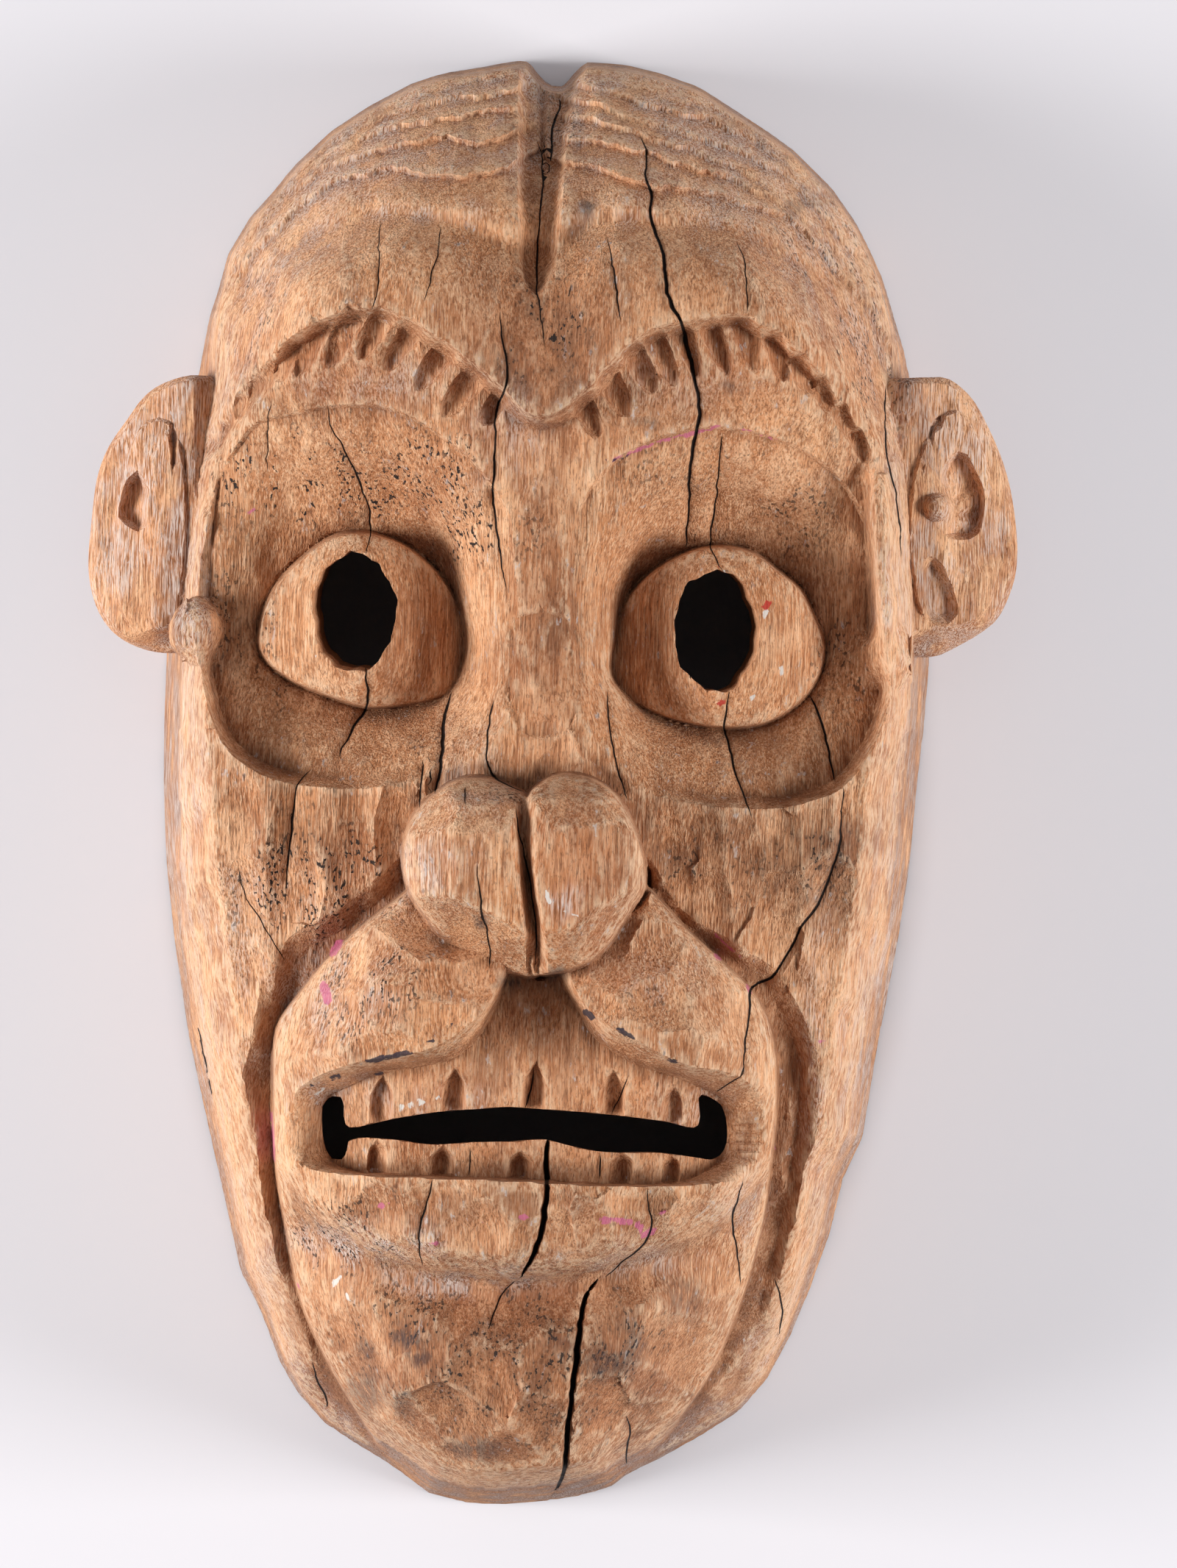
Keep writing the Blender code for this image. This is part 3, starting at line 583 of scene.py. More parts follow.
# colour that time left on it, with painted shade among the grime at the brow's centre, under the nose and in
# the mouth corners: u, v, half width, half height, amount
GRIME_AND_SHADE = [
    (735, 480, 80, 100, 1.0), (430, 1140, 70, 50, 0.6), (1100, 1170, 80, 90, 0.8),
    (940, 1150, 90, 60, 0.7), (745, 860, 36, 120, 0.5), (880, 400, 90, 70, 0.5), (620, 1270, 40, 40, 0.2), (700, 1440, 90, 60, 0.55),
    (560, 880, 50, 80, 0.35), (890, 850, 40, 90, 0.4), (330, 800, 40, 110, 0.55),
    (1150, 780, 40, 100, 0.35), (400, 1010, 90, 40, 0.35), (1080, 1040, 90, 40, 0.35),
    (700, 1850, 210, 120, 0.8), (760, 1640, 160, 40, 0.5), (500, 1800, 70, 90, 0.4), (560, 1650, 120, 30, 0.35),
    (830, 1660, 140, 40, 0.4), (500, 340, 200, 50, 0.2), (950, 380, 160, 50, 0.25),
    (735, 640, 60, 60, 0.3), (860, 570, 110, 60, 0.35), (420, 560, 120, 60, 0.3),
    (445, 1530, 30, 60, 0.7), (1000, 1530, 30, 60, 0.6), (900, 1930, 90, 50, 0.5),
    (780, 300, 40, 60, 0.3), (640, 200, 60, 40, 0.2), (1120, 690, 60, 50, 0.3),
]
TAN = [  # darker in these places; at the brow's centre this is painted shade under its V
    (738, 480, 110, 110, 1.0), (742, 850, 46, 210, 0.8), (700, 1850, 260, 170, 0.9),
    (660, 1660, 260, 60, 0.55), (720, 1525, 250, 80, 0.55), (440, 500, 150, 60, 0.7),
    (790, 1180, 70, 120, 0.9), (560, 860, 50, 90, 0.3), (960, 500, 180, 60, 0.6),
    (720, 1390, 70, 80, 0.4), (1090, 1180, 100, 120, 0.35), (430, 1120, 110, 60, 0.3),
    (600, 640, 110, 60, 0.3), (930, 380, 240, 60, 0.35), (600, 380, 180, 60, 0.15),
]
# grey bloom of weathering; the marks on the ears and along the side walls are painted light, pale where the
# lamps fall on them
BLOOM_AND_LIGHT = [
    (735, 110, 60, 40, 1.0), (790, 170, 60, 60, 0.6), (640, 130, 120, 40, 0.6),
    (480, 190, 120, 60, 0.6), (1000, 200, 160, 80, 0.6), (1130, 330, 80, 100, 0.6),
    (330, 330, 60, 80, 0.5), (245, 1100, 30, 220, 0.9), (270, 1450, 30, 140, 0.7),
    (1235, 1000, 25, 200, 0.6), (1180, 1500, 40, 180, 0.9), (430, 1360, 50, 70, 0.6),
    (500, 1690, 90, 26, 1.0), (640, 1740, 110, 16, 0.8), (860, 1712, 90, 18, 0.5),
    (570, 1180, 24, 36, 0.8), (765, 1220, 22, 18, 0.9), (440, 1480, 60, 20, 0.5),
    (1010, 1640, 30, 60, 0.4), (350, 1780, 30, 90, 0.6), (1060, 1850, 40, 70, 0.6),
    (520, 1250, 60, 60, 0.3), (180, 700, 70, 180, 0.8), (1330, 700, 60, 180, 0.7), (520, 520, 110, 26, 0.3),
    (900, 520, 90, 26, 0.25), (1215, 1300, 30, 200, 0.9), (1225, 760, 26, 160, 0.8),
    (250, 760, 26, 160, 0.8), (860, 130, 160, 50, 0.6), (560, 120, 140, 40, 0.5),
    (480, 1340, 70, 60, 0.4), (900, 1330, 60, 40, 0.3), (330, 1300, 50, 160, 0.4),
    (1110, 1480, 20, 200, 0.5), (690, 600, 50, 60, 0.4), (640, 1120, 60, 60, 0.3),
    (930, 1500, 50, 30, 0.4), (560, 1500, 90, 26, 0.5), (640, 1030, 30, 60, 0.3),
    (400, 1230, 60, 60, 0.25), (1000, 290, 200, 30, 0.5), (560, 290, 100, 16, 0.5),
]
STAINS_AND_SHADOW = [  # black damp marks; the two on the nose's lower edge are painted shadow under it
    (549, 1816, 15, 18, 1.0), (566, 1845, 10, 12, 0.9), (640, 1970, 34, 16, 0.7),
    (500, 1895, 24, 26, 0.6), (830, 1850, 28, 22, 0.7), (765, 1828, 26, 12, 0.5),
    (860, 1830, 18, 30, 0.5), (700, 1335, 22, 8, 0.9), (757, 1328, 14, 8, 0.9),
    (650, 1250, 8, 8, 0.9), (1000, 530, 9, 8, 0.8), (880, 577, 16, 5, 0.8),
    (793, 280, 9, 9, 0.9), (700, 175, 10, 6, 0.7), (700, 296, 6, 10, 0.6),
    (300, 900, 20, 30, 0.3), (1140, 1150, 26, 30, 0.35), (1060, 1200, 16, 18, 0.3),
    (975, 1015, 16, 12, 0.3), (1090, 280, 30, 8, 0.5), (930, 1760, 20, 30, 0.4),
    (545, 1905, 18, 14, 0.5), (490, 1840, 14, 16, 0.5), (940, 1990, 40, 12, 0.5),
]
SPECKS = [
    (400, 650, 110, 60, 1.0), (590, 640, 60, 60, 0.9), (640, 720, 50, 50, 0.8),
    (500, 660, 50, 40, 0.9), (735, 440, 60, 70, 0.9), (400, 1110, 40, 30, 0.7),
    (1100, 1160, 60, 60, 0.6), (560, 1800, 120, 60, 0.6), (860, 1830, 70, 50, 0.6),
    (600, 1010, 60, 30, 0.4), (1000, 640, 90, 40, 0.4), (470, 1390, 60, 40, 0.5),
    (900, 1370, 80, 40, 0.35), (690, 1080, 40, 20, 0.5), (880, 640, 50, 40, 0.4),
    (1080, 700, 60, 60, 0.5), (400, 950, 80, 50, 0.4), (760, 180, 30, 60, 0.5),
    (430, 1200, 120, 90, 0.8), (520, 1330, 90, 60, 0.6), (1150, 900, 50, 90, 0.5),
    (330, 850, 50, 110, 0.6), (1180, 450, 60, 160, 0.6), (700, 1850, 220, 120, 0.6),
    (480, 1680, 90, 60, 0.7), (960, 1180, 80, 60, 0.5), (720, 760, 30, 90, 0.4),
    (450, 440, 60, 40, 0.4), (1120, 340, 80, 60, 0.5), (340, 420, 60, 90, 0.5),
]
PINK = [
    (2.5, [(820, 630), (860, 615), (900, 600), (940, 590), (980, 578)]),
    (1.2, [(1000, 580), (1060, 600)]),
    (5.0, [(452, 1296), (462, 1280)]), (6.5, [(440, 1340), (446, 1362)]),
    (2.2, [(368, 1510), (371, 1545), (372, 1580)]), (3.5, [(516, 1640), (526, 1637)]),
    (3.0, [(586, 1689), (594, 1691)]), (3.0, [(655, 1660), (664, 1661)]),
    (3.5, [(706, 1656), (716, 1655)]), (4.5, [(815, 1659), (856, 1661)]),
    (4.5, [(868, 1664), (876, 1680), (888, 1672)]), (2.6, [(896, 1652), (904, 1648)]),
    (2.8, [(972, 1298), (978, 1304)]), (2.4, [(1016, 1340), (1020, 1350)]),
    (2.2, [(1054, 1388), (1057, 1394)]), (1.8, [(968, 1267), (1008, 1304)]),
    (2.2, [(1105, 1420), (1128, 1412)]), (2.8, [(1077, 1519), (1079, 1524)]),
    (2.4, [(1054, 1558), (1058, 1564)]), (2.6, [(338, 700), (346, 690)]),
    (2.0, [(404, 1746), (410, 1752)]), (2.2, [(556, 1360), (562, 1362)]),
]
BLUE = [
    (3.6, [(500, 1443), (528, 1437), (560, 1431)]), (3.2, [(574, 1424), (592, 1414)]),
    (3.0, [(420, 1476), (430, 1474)]), (3.0, [(450, 1466), (462, 1463)]),
    (2.8, [(512, 1461), (520, 1459)]), (4.0, [(796, 1376), (806, 1384)]),
    (4.2, [(842, 1400), (862, 1410)]), (2.6, [(908, 1441), (920, 1444)]),
    (2.4, [(820, 629), (858, 619)]), (2.2, [(606, 1400), (618, 1392)]),
]
WHITE = [
    (3.5, [(1038, 838), (1042, 830)]), (2.4, [(1058, 808), (1062, 800)]),
    (3.0, [(1020, 952), (1027, 944)]), (2.8, [(984, 778), (990, 772)]),
    (2.2, [(928, 936), (934, 934)]), (3.0, [(1062, 906), (1062, 918)]),
    (4.0, [(540, 1508), (575, 1500)]), (2.6, [(424, 1494), (440, 1480)]),
    (2.0, [(424, 866), (430, 900)]), (4.0, [(452, 1748), (462, 1738)]),
    (2.6, [(470, 1760), (476, 1768)]), (3.0, [(742, 1213), (748, 1226)]),
    (2.2, [(765, 1240), (785, 1246)]), (1.8, [(540, 1500), (600, 1492)]),
]
RED = [(4.5, [(1040, 826), (1046, 818)]), (4.0, [(978, 956), (984, 953)]),
       (1.6, [(976, 772), (979, 768)])]


def blobs(marks):
    total = np.zeros(UG.shape)
    warp_u = UG + 16 * noise(UG / 40.0, VG / 40.0, 111)
    warp_v = VG + 16 * noise(UG / 40.0, VG / 40.0, 113)
    for cu, cv, ru, rv, amount in marks:
        r2 = ((warp_u - cu) / ru) ** 2 + ((warp_v - cv) / rv) ** 2
        total = np.maximum(total, amount * np.exp(-0.7 * r2 * np.sqrt(r2)))
    return total


def strokes(marks):
    """Signed distance in mm to the nearest painted stroke, negative in it."""
    best = np.full(UG.shape, 40.0)
    for half, points in marks:
        p = np.array(points, float)
        low, high = p.min(0) - 60, p.max(0) + 60
        box = window(low, high)
        distance, _ = line_distance(p, UG[box], VG[box])
        best[box] = np.minimum(best[box], distance - half)
    return np.clip(best / SCALE, -3.0, 7.0)


def window(low, high):
    i0, i1 = np.searchsorted(UG[:, 0], (low[0], high[0]))
    j0 = NB - np.searchsorted(VG[0][::-1], high[1])
    j1 = NB - np.searchsorted(VG[0][::-1], low[1])
    return slice(max(i0, 0), i1), slice(max(j0, 0), j1)


# --------------------------------------------------------------- the carving
def carve():
    """All the layout fields: heights of the front and of the hollow, and the
    masks that the finish needs."""
    wob = noise(UG / 60.0, VG / 60.0, 3)
    u = UG + 2.0 * noise(UG / 22.0, VG / 30.0, 5)
    v = VG + 2.0 * noise(UG / 25.0, VG / 22.0, 9)

    d_out = region(OUTLINE, straight=True)
    d_brow = region(BROW_EDGE + [(1230, 560), (1250, 350), (1150, 120), (800, 20),
                                 (600, 20), (300, 150), (240, 400), (245, 600)])
    d_eye = region(EYE_BAND)
    bowls = [region(BOWL_L), region(BOWL_R)]
    balls = [region(EYE_L), region(EYE_R)]
    d_muz = region(MUZZLE)
    d_chan = region(CHANNEL)
    noses = [region(NOSE_L), region(NOSE_R)]
    d_lips = region(LIPS)
    d_teeth = region(TEETH)
    d_gap = region(GAP)
    d_groove = region(FOREHEAD_GROOVE)

    # broad surfaces
    cheeks = sheet(CHEEKS)
    brow = sheet(BROW)
    under = sheet(UNDER)
    bowl = sheet(SOCKETS)
    lips = sheet(LIPS_AND_CHIN)
    plane = sheet(TEETH_PLANE)

    # gouge facets: shallow scoops that meet in low ridges
    bend = 9.0 * noise(UG / 70.0, VG / 70.0, 19)
    long_cell, long_own = scoops((UG + bend) / 52.0, (VG - bend) / 118.0, 21)
    facets = 3.4 * long_cell + 0.35 * long_own
    facets = facets + 1.0 * chips((UG + bend) / 60.0, (VG - bend) / 84.0, 23)
    wide_cell, wide_own = scoops((UG + 0.3 * VG + bend) / 74.0, (VG - 0.3 * UG) / 66.0, 27)
    cuts = 4.0 * wide_cell + 0.4 * wide_own
    cuts = cuts + 1.2 * chips((UG + 0.3 * VG + bend) / 74.0, (VG - 0.3 * UG) / 66.0, 27)
    small_cell, small_own = scoops((UG + bend) / 38.0, (VG + bend) / 56.0, 33)
    small = 2.4 * small_cell + 0.2 * small_own
    facet = 0.6 * long_own + 0.4 * small_own

    z = cheeks + facets

    # the band under the brow, the bridge, and the bowls of the eye sockets
    t = np.clip(d_eye / 3.0, 0.0, 1.0)
    rough = 1.3 * small_cell + 0.5 * noise(UG / 9.0, VG / 40.0, 37, 2)
    z = z * (1.0 - t) + (np.minimum(under, z + 30) + rough) * t
    for side in bowls:
        t = np.clip(side / 18.0, 0.0, 1.0)
        t = 1.0 - (1.0 - t) ** 1.12
        inner = bowl + 0.8 * small_cell - 0.6
        step = (1.6 - 1.0 * smooth(860, 960, VG)) * smooth(0.0, 1.3, side)
        z = np.where(side > 0, (z - step) * (1.0 - t) + inner * t, z)
        facet = np.where(side > 0, 0.5 * facet, facet)

    # eyeballs: rounded roofs with an upright ridge
    for ball, (cu, cv, hu, hv) in zip(
        balls, ((488.0, 845.0, 146.0, 124.0), (976.0, 868.0, 150.0, 128.0))
    ):
        du, dv = (UG - cu) / hu, (VG - cv) / hv
        roof = (1.0 - np.abs(du) ** 1.2) * (1.0 - 0.5 * np.abs(dv) ** 2.4)
        top = 64.0 + 20.0 * np.clip(roof, 0, 1) + 0.9 * long_cell
        edge = smooth(-0.2, 0.9, ball)
        z = z * (1.0 - edge) + np.maximum(top, 62.5) * edge
        z = z - 1.5 * np.exp(-((ball / 0.6) ** 2))

    # channel round the lips and chin, its floor sloping up to the cheek
    depth = 5.5 + 3.0 * smooth(1230, 1400, VG) - 2.0 * smooth(1700, 1950, VG)
    depth = depth * (1.0 - 0.35 * smooth(900, 1000, UG))
    floor = np.clip(d_chan * 1.15, 0.0, None)
    floor = np.minimum(floor, depth)
    rough = noise(UG / 12.0, VG / 60.0, 41) * 0.6 - 0.8 * small_cell
    z = z - (floor + rough * smooth(0, 2, d_chan)) * smooth(-0.2, 0.2, d_chan)

    # raised lips and chin
    lip = curve([(300, 1560), (385, 1610), (415, 1655), (463, 1690), (544, 1724),
                 (625, 1741), (707, 1747), (788, 1738), (842, 1725), (923, 1698),
                 (1000, 1658), (1030, 1620), (1100, 1560)])
    loop = np.vstack([lip, [(1400, 1560), (1400, 600), (0, 600), (0, 1560)]])
    d_lip = region(loop, straight=True) + 0.5 * noise(UG / 40.0, VG / 40.0, 67)
    calm = 1.0 - 0.85 * np.exp(-(((d_lip + 3.0) / 9.0) ** 2)) * smooth(1600, 1640, VG)
    form = lips + cuts * smooth(-1, 4, d_muz) * calm - 0.5
    under_lip = np.where(
        d_lip > 0, np.exp(-((d_lip / 2.6) ** 2)), np.exp(-((d_lip / 9.0) ** 2))
    )
    form = form - 6.5 * under_lip + 2.5 * np.exp(-(((d_lip - 7.0) / 5.0) ** 2))
    edge = smooth(-0.35, 0.55, d_muz)
    rounded = 2.2 * (1.0 - np.clip(d_muz / 3.5, 0.0, 1.0)) ** 2
    z = z * (1.0 - edge) + (form - rounded) * edge
    facet = np.where(d_muz > 0, 0.6 * wide_own + 0.3 * small_own, facet)

    # cut band of the lips, and the teeth behind it
    inner = np.maximum(-d_teeth, 0.0)
    outer = np.maximum(d_lips, 0.0)
    t = outer / np.maximum(outer + inner, 1e-3)
    t = np.where(d_teeth > 0, 1.0, t)
    gums = plane + 0.7 * noise(UG / 9.0, VG / 90.0, 47, 3) * smooth(1510, 1440, VG)
    gums = gums + 1.2 * long_cell
    z = np.where(d_lips > 0, z * (1.0 - t) + gums * t, z)
    for cu, top, low, half, deep in TOOTH_CUTS:
        along = np.clip((VG - top) / (low - top), 0.0, 1.0)
        wide = half * (0.20 + 0.80 * smooth(0.0, 0.5, along))
        across = (UG - cu + 0.05 * (VG - top)) / wide
        cut = np.sqrt(np.clip(1.0 - across**2, 0.0, 1.0))
        cut = cut * smooth(top - 2, top + 20, VG) * smooth(low + 12, low + 4, VG)
        z = z - deep * cut * smooth(0.0, 1.0, d_teeth)

    # nose
    nose_cell, nose_own = scoops((UG + bend) / 44.0, VG / 105.0, 131)
    for lobe, planes in zip(noses, (PLANES_L, PLANES_R)):
        form = np.full(UG.shape, 200.0)
        for pu, pv, top, fall_u, fall_v in planes:
            cut = top - (fall_u * (UG - pu) + fall_v * (VG - pv)) / SCALE
            form = np.minimum(form, cut)
        form = soften(form, 1) + 0.9 * nose_cell + 0.2 * nose_own
        low_edge = smooth(1285, 1325, VG)
        reach = 2.4 - 1.0 * low_edge
        rounded = (3.2 - 0.8 * low_edge) * (1.0 - np.clip(lobe / reach, 0, 1)) ** 1.8
        edge = smooth(-0.3, 0.8, lobe)
        z = np.where(lobe > -0.4, np.maximum(z, z * (1 - edge) + (form - rounded) * edge), z)
        facet = np.where(lobe > 0, 0.8 * nose_own, facet)
    left_side = 700.0 + 16.0 * smooth(1080, 1330, VG)
    right_side = 716.0 + 30.0 * smooth(1080, 1330, VG)
    line = left_side + 0.55 * (right_side - left_side) + 1.5 * noise(VG / 30.0, UG * 0, 135)
    cut = np.where(
        UG < line,
        np.clip((UG - left_side) / (line - left_side), 0, 1) ** 0.8,
        np.clip((right_side - UG) / (right_side - line), 0, 1) ** 1.2,
    )
    cut = cut * smooth(1074, 1096, VG) * smooth(1333, 1328, VG)
    z = z - cut * (3.0 + 5.5 * smooth(1080, 1320, VG))
    notch = region([(866, 1176), (884, 1172), (886, 1215), (868, 1240), (846, 1246),
                    (851, 1222), (862, 1204)])
    z = z - 5.0 * smooth(0.0, 1.6, notch)

    # brow ridge: a roll between its lower edge and the crease above it
    line = curve(BROW_TOP)
    closed = np.vstack([line, [(1300, 300), (1150, 20), (800, 0), (500, 10), (250, 300)]])
    d_top = region(closed, straight=True)
    low = np.clip(d_brow, 0, None)
    high = np.clip(-d_top, 0, None)
    across = low / np.maximum(low + high, 1e-3)
    roll = 1.0 - 0.5 * np.clip((across - 0.375) / 0.625, 0, 1) ** 2
    roll = np.where(across < 0.375, 0.80 + 0.20 * smooth(0.0, 0.375, across), roll)
    wall = np.clip(-d_brow / 3.6, 0.0, 1.0)
    wall = 1.0 - (1.0 - wall) ** 1.3
    over = brow + 0.45 * facets + 4.0 * (roll - 1.0) * (d_top < 0)
    z = np.where(d_brow > 0, over, np.maximum(over, z) * (1.0 - wall) + z * wall)
    notched = np.zeros(UG.shape)
    for nu, nv, length, width, lean in NOTCHES:
        c, s = math.cos(math.radians(lean)), math.sin(math.radians(lean))
        du, dv = u - nu, v - (nv + 12)
        along = (dv * c + du * s) / (1.05 * length)
        side = (du * c - dv * s) / (0.52 * width)
        end = np.where(along > 0.30, (along - 0.30) / 0.70, 0.0)
        shape = np.sqrt(np.clip(1.0 - side**2 - end**2, 0.0, 1.0))
        shape = shape * smooth(-0.25, -0.05, along)
        notched = np.maximum(notched, shape)
        z = z - 2.7 * shape

    # forehead: overlapping bands from the outline down to the crease
    on_top = smooth(-0.2, 0.6, d_top)
    wave = 1.1 * noise(UG / 26.0, VG / 26.0, 55, 2)
    around = np.arctan2(VG - 620.0, (UG - 737.0) * 1.1) * 7.5
    bands = np.zeros(UG.shape)
    ledge = np.zeros(UG.shape)
    under_ledge = np.zeros(UG.shape)
    cleft = np.zeros(UG.shape)
    torn = noise(UG / 7.0, VG / 60.0, 71, 2)
    for ledges, side in ((LEDGES_L, UG < 735), (LEDGES_R, UG >= 735)):
        lines = [np.clip(d_out, 0, None) + 0.5]
        for points in ledges:
            line = curve(points)
            far = 100 if points[0][0] < 738 else 1350
            loop = np.vstack([line, [(far, line[-1, 1] + 30), (far, 0), (line[0, 0], 0)]])
            lines.append(-region(loop, straight=True) + wave)
        lines.append(np.full(UG.shape, -99.0))
        depth = np.zeros(UG.shape)
        crest = np.zeros(UG.shape)
        for k in range(len(lines) - 1):
            over, below = lines[k], -lines[k + 1]
            if k == len(lines) - 2:
                below = np.clip(d_top, 0, None) + 1.5
            here = (over > 0) & (below > 0)
            wide = over + below
            frac = np.clip(over / np.maximum(wide, 0.1), 0, 1)
            deep = np.clip(0.60 * wide, 1.0, 3.4)
            scoop = (1.0 - frac) ** (1.6 if k == len(lines) - 2 else 1.15)
            scoop = scoop + 0.35 * frac * (1.0 - frac)
            if k == 0:
                scoop = 1.5 * frac * (1.0 - frac) + 0.15
            rag = 0.8 * torn * np.exp(-over / 2.2)
            depth = np.where(here, deep * scoop + np.abs(rag), depth)
            if k > 0:
                mark = np.exp(-((over / 0.55) ** 2)) * here
                crest = np.maximum(crest, mark * smooth(-0.4, 0.5, torn + 0.3 * wave))
                # below each ledge a dark streaky band, torn fibres with painted shade under the ledge, and a
                # thin dark line of painted shade
                shade = here * np.clip(1.0 - over / 2.6, 0, 1) * smooth(-0.3, 0.6, torn)
                under_ledge = np.maximum(under_ledge, shade * side)
                thin = np.exp(-(((over - 0.7) / 0.8) ** 2)) * here * side
                cleft = np.maximum(cleft, thin * smooth(-0.9, 0.3, torn + 0.4 * wave))
        bands = np.where(side, depth, bands)
        ledge = np.where(side, crest, ledge)
    bands = soften(bands, 1)
    z = z - 2.0 * np.exp(-((d_top / 8.0) ** 2)) * (d_top > 0) * smooth(0, 6, d_out)
    valley = np.exp(-((d_top / np.where(d_top > 0, 3.2, 5.0)) ** 2))
    z = z - 3.0 * valley * smooth(0, 6, d_out) * (d_brow > 0)
    run = scoops(around, lines[0] * 0.0 + np.round(4 * d_top / (8.0 + np.abs(d_top))), 57, 0.3)
    facet = np.where(d_top > 0, 0.7 * run[1] + 0.3 * small_own, facet)
    ledge = ledge * on_top * smooth(0.5, 3.0, d_out)
    under_ledge = under_ledge * on_top
    cleft = cleft * on_top * smooth(0.3, 2.0, d_out)

    # walls down to the rim
    width = np.interp(
        VG,
        (60, 150, 300, 450, 530, 630, 950, 1100, 1300, 1600, 1800, 2050),
        (50, 45, 34, 24, 17, 10.5, 10.5, 13, 13, 10, 8.5, 9),
    )
    width = width + 1.2 * wob
    power = 1.4 + 0.25 * smooth(620, 300, VG)
    x = np.clip(d_out / width, 0.0, 1.0)
    turn = (1.0 - (1.0 - x) ** power) ** (1.0 / power)
    around = np.arctan2(VG - 1066, UG - 740)
    side, side_own = scoops(around * 8.0 + 0.2 * wob, d_out / 7.0 + 0.3 * wob, 61)
    base = 0.40 * smooth(700, 420, VG) + 0.14
    turn = base + (1.0 - base) * turn
    z = np.where(d_out > 0, z * turn, 0.0)
    z = z - on_top * bands * smooth(0.0, 3.0, d_out)
    keep = smooth(0.0, 4.0, d_out) * smooth(1.0, 0.7, x) * smooth(300, 520, VG)
    z = z - 3.6 * (0.3 - side) * keep
    facet = np.where(keep > 0.3, 0.7 * side_own, facet)
    slope = 9.0 * d_out + 19.0 * smooth(520, 380, VG) * np.clip(d_out, 0, None)
    z = np.where(d_out < 4.0, np.minimum(z, slope), z)
    z = np.where(d_out <= 0, slope, z)

    # a torn break at the lower right, and chips at the foot of the chin
    away = np.hypot((UG - 925.0) / 75.0, (VG - 1952.0) / 34.0)
    away = np.minimum(away, np.hypot((UG - 800.0) / 90.0, (VG - 2018.0) / 20.0))
    broken = smooth(1.1, 0.5, away + 0.25 * noise(UG / 18.0, VG / 18.0, 63))
    z = z - broken * (1.2 + 1.5 * noise(UG / 9.0, VG / 16.0, 65, 3)) * smooth(0.5, 3.0, d_out)
    step_cut = smooth(-0.1, 0.5, region([(702, 838), (778, 846), (776, 990), (706, 996)]))
    z = z - 0.8 * step_cut
    # teeth of a saw in the right corner of the mouth
    corner = smooth(1.1, 0.7, np.hypot((UG - 1016.0) / 26.0, (VG - 1552.0) / 30.0))
    z = z - 0.9 * corner * (0.5 + 0.5 * np.cos((VG - 1552.0) / 11.0 * 6.283))

    # groove down the forehead
    bed = 4.6 * (1.0 - (1.0 - np.clip(d_groove / 2.6, 0.0, 1.0)) ** 2.0)
    z = z - bed * smooth(-4.0, 6.0, d_out)

    # drying cracks: the open ones are cut, the hairlines are only drawn
    crack = np.full(UG.shape, 9.0)
    near_crack = np.full(UG.shape, 9.0)
    crack_half = np.full(UG.shape, 0.0)
    deep = np.zeros(UG.shape)
    cu = UG + 2.6 * noise(UG / 60.0, VG / 12.0, 77, 3)
    for half, points in CRACKS:
        line = curve(points, per=5)
        box = window(line.min(0) - 30, line.max(0) + 30)
        uu, vv = cu[box], VG[box]
        if uu.size == 0:
            continue
        best = np.full(uu.shape, 1e9)
        signed = np.full(uu.shape, 1e9)
        wide = np.zeros(uu.shape)
        lengths = np.concatenate([[0], np.cumsum(np.hypot(*np.diff(line, axis=0).T))])
        for k in range(len(line) - 1):
            (x0, y0), (x1, y1) = line[k], line[k + 1]
            dx, dy = x1 - x0, y1 - y0
            size = max(math.hypot(dx, dy), 1e-6)
            along = np.clip(((uu - x0) * dx + (vv - y0) * dy) / size**2, 0, 1)
            d = np.hypot(uu - x0 - along * dx, vv - y0 - along * dy)
            side_of = np.sign((uu - x0) * dy - (vv - y0) * dx)
            near = d < best
            best = np.where(near, d, best)
            signed = np.where(near, d * side_of, signed)
            place = (lengths[k] + along * size) / lengths[-1]
            wide = np.where(near, half * np.clip(4 * place * (1 - place), 0, 1) ** 0.4, wide)
        wide = wide * (1.0 + 0.35 * noise(uu / 20.0, vv / 26.0, 83, 2))
        nearer = best / SCALE < near_crack[box]
        crack[box] = np.where(nearer, signed / SCALE, crack[box])
        near_crack[box] = np.where(nearer, best / SCALE, near_crack[box])
        crack_half[box] = np.where(nearer, wide / SCALE, crack_half[box])
        if half > 4.0:
            cut = 4.0 * smooth(1.3, 0.4, best / np.maximum(wide, 1.0)) * smooth(0.5, 2.5, wide)
            deep[box] = np.maximum(deep[box], cut)
        else:
            cut = (0.4 + 0.25 * half) * np.exp(-((best / 4.0) ** 2)) * smooth(0.3, 1.2, wide)
            deep[box] = np.maximum(deep[box], cut)
    z = z - deep

    # the hollow behind the face
    x = (AG * math.cos(ROLL) - BG * math.sin(ROLL)) + AXIS_X + 0.54
    y = (AG * math.sin(ROLL) + BG * math.cos(ROLL)) + AXIS_Y
    across = np.abs(x + 3.0) / 95.0
    up = np.abs(y - 20.0) / np.where(y > 20.0, 160.0, 200.0)
    power = np.where(y > 20.0, 2.8, 2.25)
    level = (across**power + up**power) ** (1.0 / power) * 95.0 / 82.0
    level = level + 0.012 * noise(x / 30.0, y / 30.0, 91, 2)
    hollow = 64.0 * np.clip(1.0 - np.clip(level, 0, 1) ** 3.2, 0.0, 1.0) ** 0.5
    cell, own = scoops(x / 11.0, y / 19.0, 95)
    hollow = hollow - 1.8 * cell * smooth(2.0, 10.0, hollow)
    thin = blur(least(z, 4.4), 2.0) - 4.5
    hollow = np.minimum(hollow, thin)
    hollow = np.where(level < 1.0, np.maximum(hollow, 0.0), 0.0)

